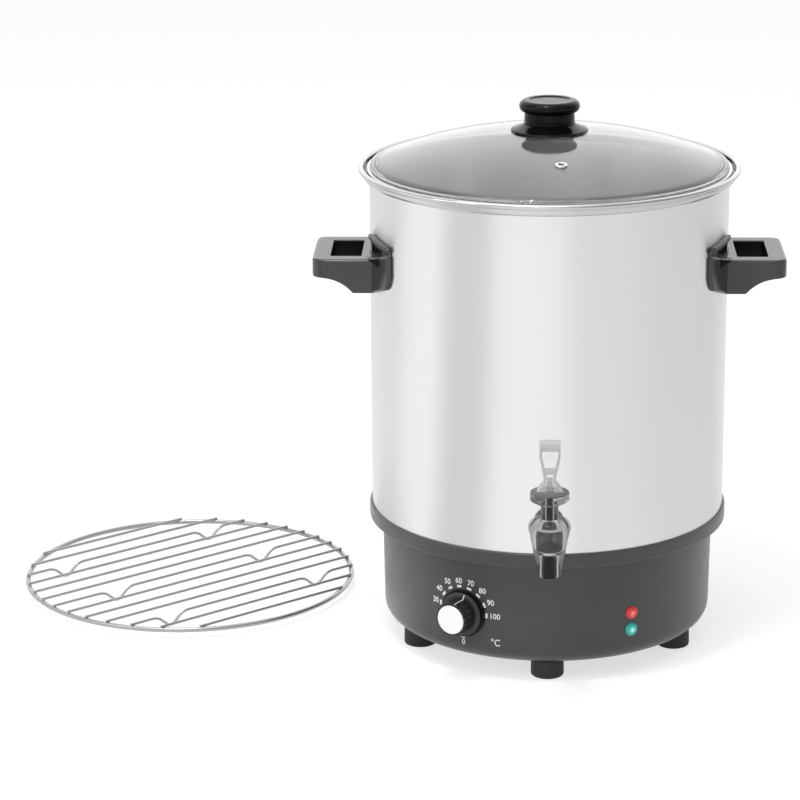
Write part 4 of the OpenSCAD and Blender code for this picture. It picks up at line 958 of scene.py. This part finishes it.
def knob_base_outline():
    """Flared foot of the lid's knob."""
    return [(2.7, 512.6, 0), (36.9, 511.1, 0.5), (37.8, 511.9, 0.6), (37.2, 513.0, 0.6), (30.6, 515.2, 4),
            (26.2, 517.2, 2), (24.7, 518.5, 0.5), (2.7, 518.5, 0)]


piece("lid_knob_flare", turned(knob_base_outline(), 128), "lid", KNOB_BLACK, ["lid_knob_base"])


def lid_knob_outline():
    """Lid's knob: groove, waist, round rim and dished top."""
    groove = [(24.9, 520.9, 0.3), (24.1, 521.4, 0.2), (24.1, 522.0, 0.2), (24.6, 522.5, 0.3), (24.2, 528.5, 1.5)]
    rim = arc((23.5, 535.5), 6, -84, 166, 24)
    return ([(2.55, 518.5, 0), (24.7, 518.5, 0.3)] + groove + rim
            + [(20.2, 541.4, 0.6), (19.2, 540.3, 0.6), (8, 540.4, 2), (0, 540.5, 0), (0, 532.6, 0), (2.55, 532.6, 0)])


piece("lid_knob_grip", turned(lid_knob_outline(), 128), "lid", KNOB_BLACK, ["lid_knob"])


def eyelet_outline():
    """Rivet round the steam vent, measured from the dome's centre."""
    low, top = DOME_R - 5.4, DOME_R + 1.6
    return [(2.6, low, 0.4), (5.6, low, 0.5), (5.6, low + 1, 0.4), (4, low + 1, 0), (4, DOME_R + 0.2, 0),
            (6.2, DOME_R + 0.2, 0.2), (6.0, DOME_R + 1.1, 0.5), (5, top, 0.6), (3.4, top, 0.6),
            (2.6, DOME_R + 0.8, 0.4)]


AT_VENT = (Matrix.Rotation(VENT_TURN, 4, "Z") @ Matrix.Translation((0, 0, DOME_Z * MM))
           @ Matrix.Rotation(math.asin(VENT_OUT / DOME_R), 4, "Y"))
piece("vent_rivet", moved(turned(eyelet_outline(), 48), AT_VENT), "lid", BRIGHT, ["vent_eyelet"])


# ---- rack ----

AT_RACK = (Matrix.Translation((RACK_AT[0] * MM, RACK_AT[1] * MM, 0)) @ Matrix.Rotation(RACK_TURN, 4, "Z"))
# Ring: radius, height and half thickness; cross wires: height, half thickness, pitch, and those with feet
RACK_RING = (170.5, 9.2, 2.5)
WIRE_Z, WIRE_R, WIRE_PITCH = 12.7, 1.5, 24.2
FOOTED, FOOT_OUT, FOOT_SPREAD = (-4, 0, 4), 93, 16


def rack_hoop():
    """Ring of the rack, of round wire."""
    bm = bmesh.new()
    bmesh.ops.create_circle(bm, segments=20, radius=RACK_RING[2] * MM)
    bmesh.ops.rotate(bm, verts=bm.verts[:], cent=(0, 0, 0), matrix=Matrix.Rotation(math.pi / 2, 3, "X"))
    bmesh.ops.translate(bm, verts=bm.verts[:], vec=(RACK_RING[0] * MM, 0, RACK_RING[1] * MM))
    return spun(bm, 192)


piece("rack_hoop", moved(rack_hoop(), AT_RACK), "rack", WIRE, ["rack_ring"])


def wire_path(y, feet):
    """Path of a cross wire; a wire with feet dips to the table twice, with soft bends."""
    end = math.sqrt(RACK_RING[0] ** 2 - y ** 2) + 1
    path = [(-end, WIRE_Z)]
    for at in ((-FOOT_OUT, FOOT_OUT) if feet else ()):
        path += [(at - FOOT_SPREAD, WIRE_Z), (at, WIRE_R - 2.05), (at + FOOT_SPREAD, WIRE_Z)]
    return path + [(end, WIRE_Z)]


def bent(path, radius):
    """Path with its corners rounded."""
    points = [Vector(path[0])]
    for before, corner, after in zip(path, path[1:], path[2:]):
        corner = Vector(corner)
        a = corner + (Vector(before) - corner).normalized() * radius
        b = corner + (Vector(after) - corner).normalized() * radius
        for i in range(6):
            t = i / 5
            points.append(a * (1 - t) ** 2 + corner * 2 * t * (1 - t) + b * t ** 2)
    return points + [Vector(path[-1])]


def cross_wires():
    """The straight and footed wires of the rack, as one mesh."""
    line = bpy.data.curves.new("cross_wires", "CURVE")
    line.dimensions = "3D"
    line.bevel_depth = WIRE_R * MM
    line.bevel_resolution = 4
    line.use_fill_caps = True
    for i in range(-6, 7):
        y = i * WIRE_PITCH
        path = wire_path(y, i in FOOTED)
        points = bent(path, 6.5) if len(path) > 2 else [Vector(p) for p in path]
        spline = line.splines.new("POLY")
        spline.points.add(len(points) - 1)
        for target, p in zip(spline.points, points):
            target.co = (p.x * MM, y * MM, p.y * MM, 1)
    bm = from_curve(line)
    bmesh.ops.remove_doubles(bm, verts=bm.verts[:], dist=TOUCH)
    return bm


piece("rack_cross_wires", moved(cross_wires(), AT_RACK), "rack", WIRE,
      ["rack_wires", "foot_wire_near", "foot_wire_middle", "foot_wire_far"], sharp=50)


# ---- studio ----

# Turn from the tap's side towards the right handle and rise, in degrees; reach in degrees; brightness
CARDS = (
    ((-86, 10), 30, 0.6),
    ((-14, 12), 40, 0.55),
    ((180, 30), 80, 0.85),
    ((-57, 10), 18, -0.45),
    ((95, 10), 45, -0.12),
)
ROOM_GREY = 0.5
WORLD_LEVEL = 0.5
# Floor: its tone to the eye, and how far it is lifted to white for the eye and in mirrors
FLOOR_TONE = 0.55
FLOOR_LIFT = 0.66
FLOOR_MIRRORED = 0.46
FLOOR_CARDS = (
    ((-84, 0), 26, 0.14),
    ((-10, 0), 30, 0.12),
    ((-54, 0), 24, -0.18),
    ((95, 0), 50, -0.05),
    ((130, 0), 30, -0.03),
)


def floor_paint():
    """Pale matt floor that keeps shadows and reads as white to the eye, to metal and through glass."""
    paint, tree, surface = blank("floor_paint")
    surface.inputs["Roughness"].default_value = 0.9
    surface.inputs["Specular IOR Level"].default_value = 0.0
    path = node(tree, "ShaderNodeLightPath").outputs
    eye, mirror, glass = path["Is Camera Ray"], path["Is Glossy Ray"], path["Is Transmission Ray"]
    tone = mixed(tree, "RGBA", calc(tree, "MAXIMUM", eye, mirror), (0.9, 0.9, 0.9, 1),
                 (FLOOR_TONE, FLOOR_TONE, FLOOR_TONE, 1))
    toward = node(tree, "ShaderNodeVectorMath", operation="NORMALIZE")
    link(tree, own_place(tree), toward.inputs[0])
    image = calc(tree, "MULTIPLY", mirror, card_sum(tree, toward.outputs[0], FLOOR_MIRRORED, FLOOR_CARDS))
    lift = calc(tree, "MULTIPLY_ADD", calc(tree, "MAXIMUM", eye, glass), FLOOR_LIFT, image)
    glow = node(tree, "ShaderNodeEmission")
    add = node(tree, "ShaderNodeAddShader")
    link(tree, tone, surface.inputs["Base Color"])
    link(tree, lift, glow.inputs["Strength"])
    link(tree, surface.outputs[0], add.inputs[0])
    link(tree, glow.outputs[0], add.inputs[1])
    link(tree, add.outputs[0], tree.nodes["Material Output"].inputs["Surface"])
    return paint


def soft_card(tree, look, toward, reach, level):
    """Brightness of a soft card in the room: full towards its middle, nothing past its reach."""
    turn, rise = (math.radians(a) for a in toward)
    at = (math.sin(turn) * math.cos(rise), -math.cos(turn) * math.cos(rise), math.sin(rise))
    facing = node(tree, "ShaderNodeVectorMath", operation="DOT_PRODUCT")
    facing.inputs[1].default_value = at
    link(tree, look, facing.inputs[0])
    return ranged(tree, facing.outputs["Value"], (0.0, level), (math.cos(math.radians(reach)), 1.0), "SMOOTHSTEP")


def card_sum(tree, look, plain, cards):
    """Plain level plus all cards, as seen along a direction."""
    total = plain
    for toward, reach, level in cards:
        total = calc(tree, "ADD", total, soft_card(tree, look, toward, reach, level))
    return total


def studio_world():
    """White to the eye; metal and gloss see a grey room with a pale backdrop and soft cards."""
    world = bpy.data.worlds.new("studio_world")
    scene.world = world
    world.use_nodes = True
    tree = world.node_tree
    path = node(tree, "ShaderNodeLightPath").outputs
    place = node(tree, "ShaderNodeTexCoord")
    room = card_sum(tree, place.outputs["Generated"], ROOM_GREY, CARDS)
    seen = calc(tree, "MAXIMUM", path["Is Camera Ray"], path["Is Transmission Ray"])
    plain = mixed(tree, "FLOAT", seen, WORLD_LEVEL, 1.0)
    background = tree.nodes["Background"]
    background.inputs["Color"].default_value = (1, 1, 1, 1)
    link(tree, mixed(tree, "FLOAT", path["Is Glossy Ray"], plain, room), background.inputs["Strength"])


def soft_box(name, at, size, power):
    """Square soft light that faces the kettle."""
    data = bpy.data.lights.new(name, "AREA")
    data.shape = "SQUARE"
    data.size = size
    data.energy = power
    lamp = bpy.data.objects.new(name, data)
    look = (Vector((0, 0, 0.25)) - Vector(at)).to_track_quat("-Z", "Y")
    lamp.matrix_world = Matrix.Translation(at) @ look.to_matrix().to_4x4()
    scene.collection.objects.link(lamp)


def studio():
    """Pale floor, grey room with soft cards, and three soft boxes."""
    ground = bmesh.new()
    bmesh.ops.create_grid(ground, x_segments=1, y_segments=1, size=8)
    floor = loose("floor", ground)
    floor.data.materials.append(floor_paint())
    studio_world()
    soft_box("overhead", (-0.6, -0.8, 3.2), 2.6, 30)
    soft_box("side", (-2.6, -1.6, 1.6), 1.6, 14)
    soft_box("spark", (-0.42, -0.85, 3.0), 0.25, 14)


studio()
scene.view_settings.view_transform = "Standard"
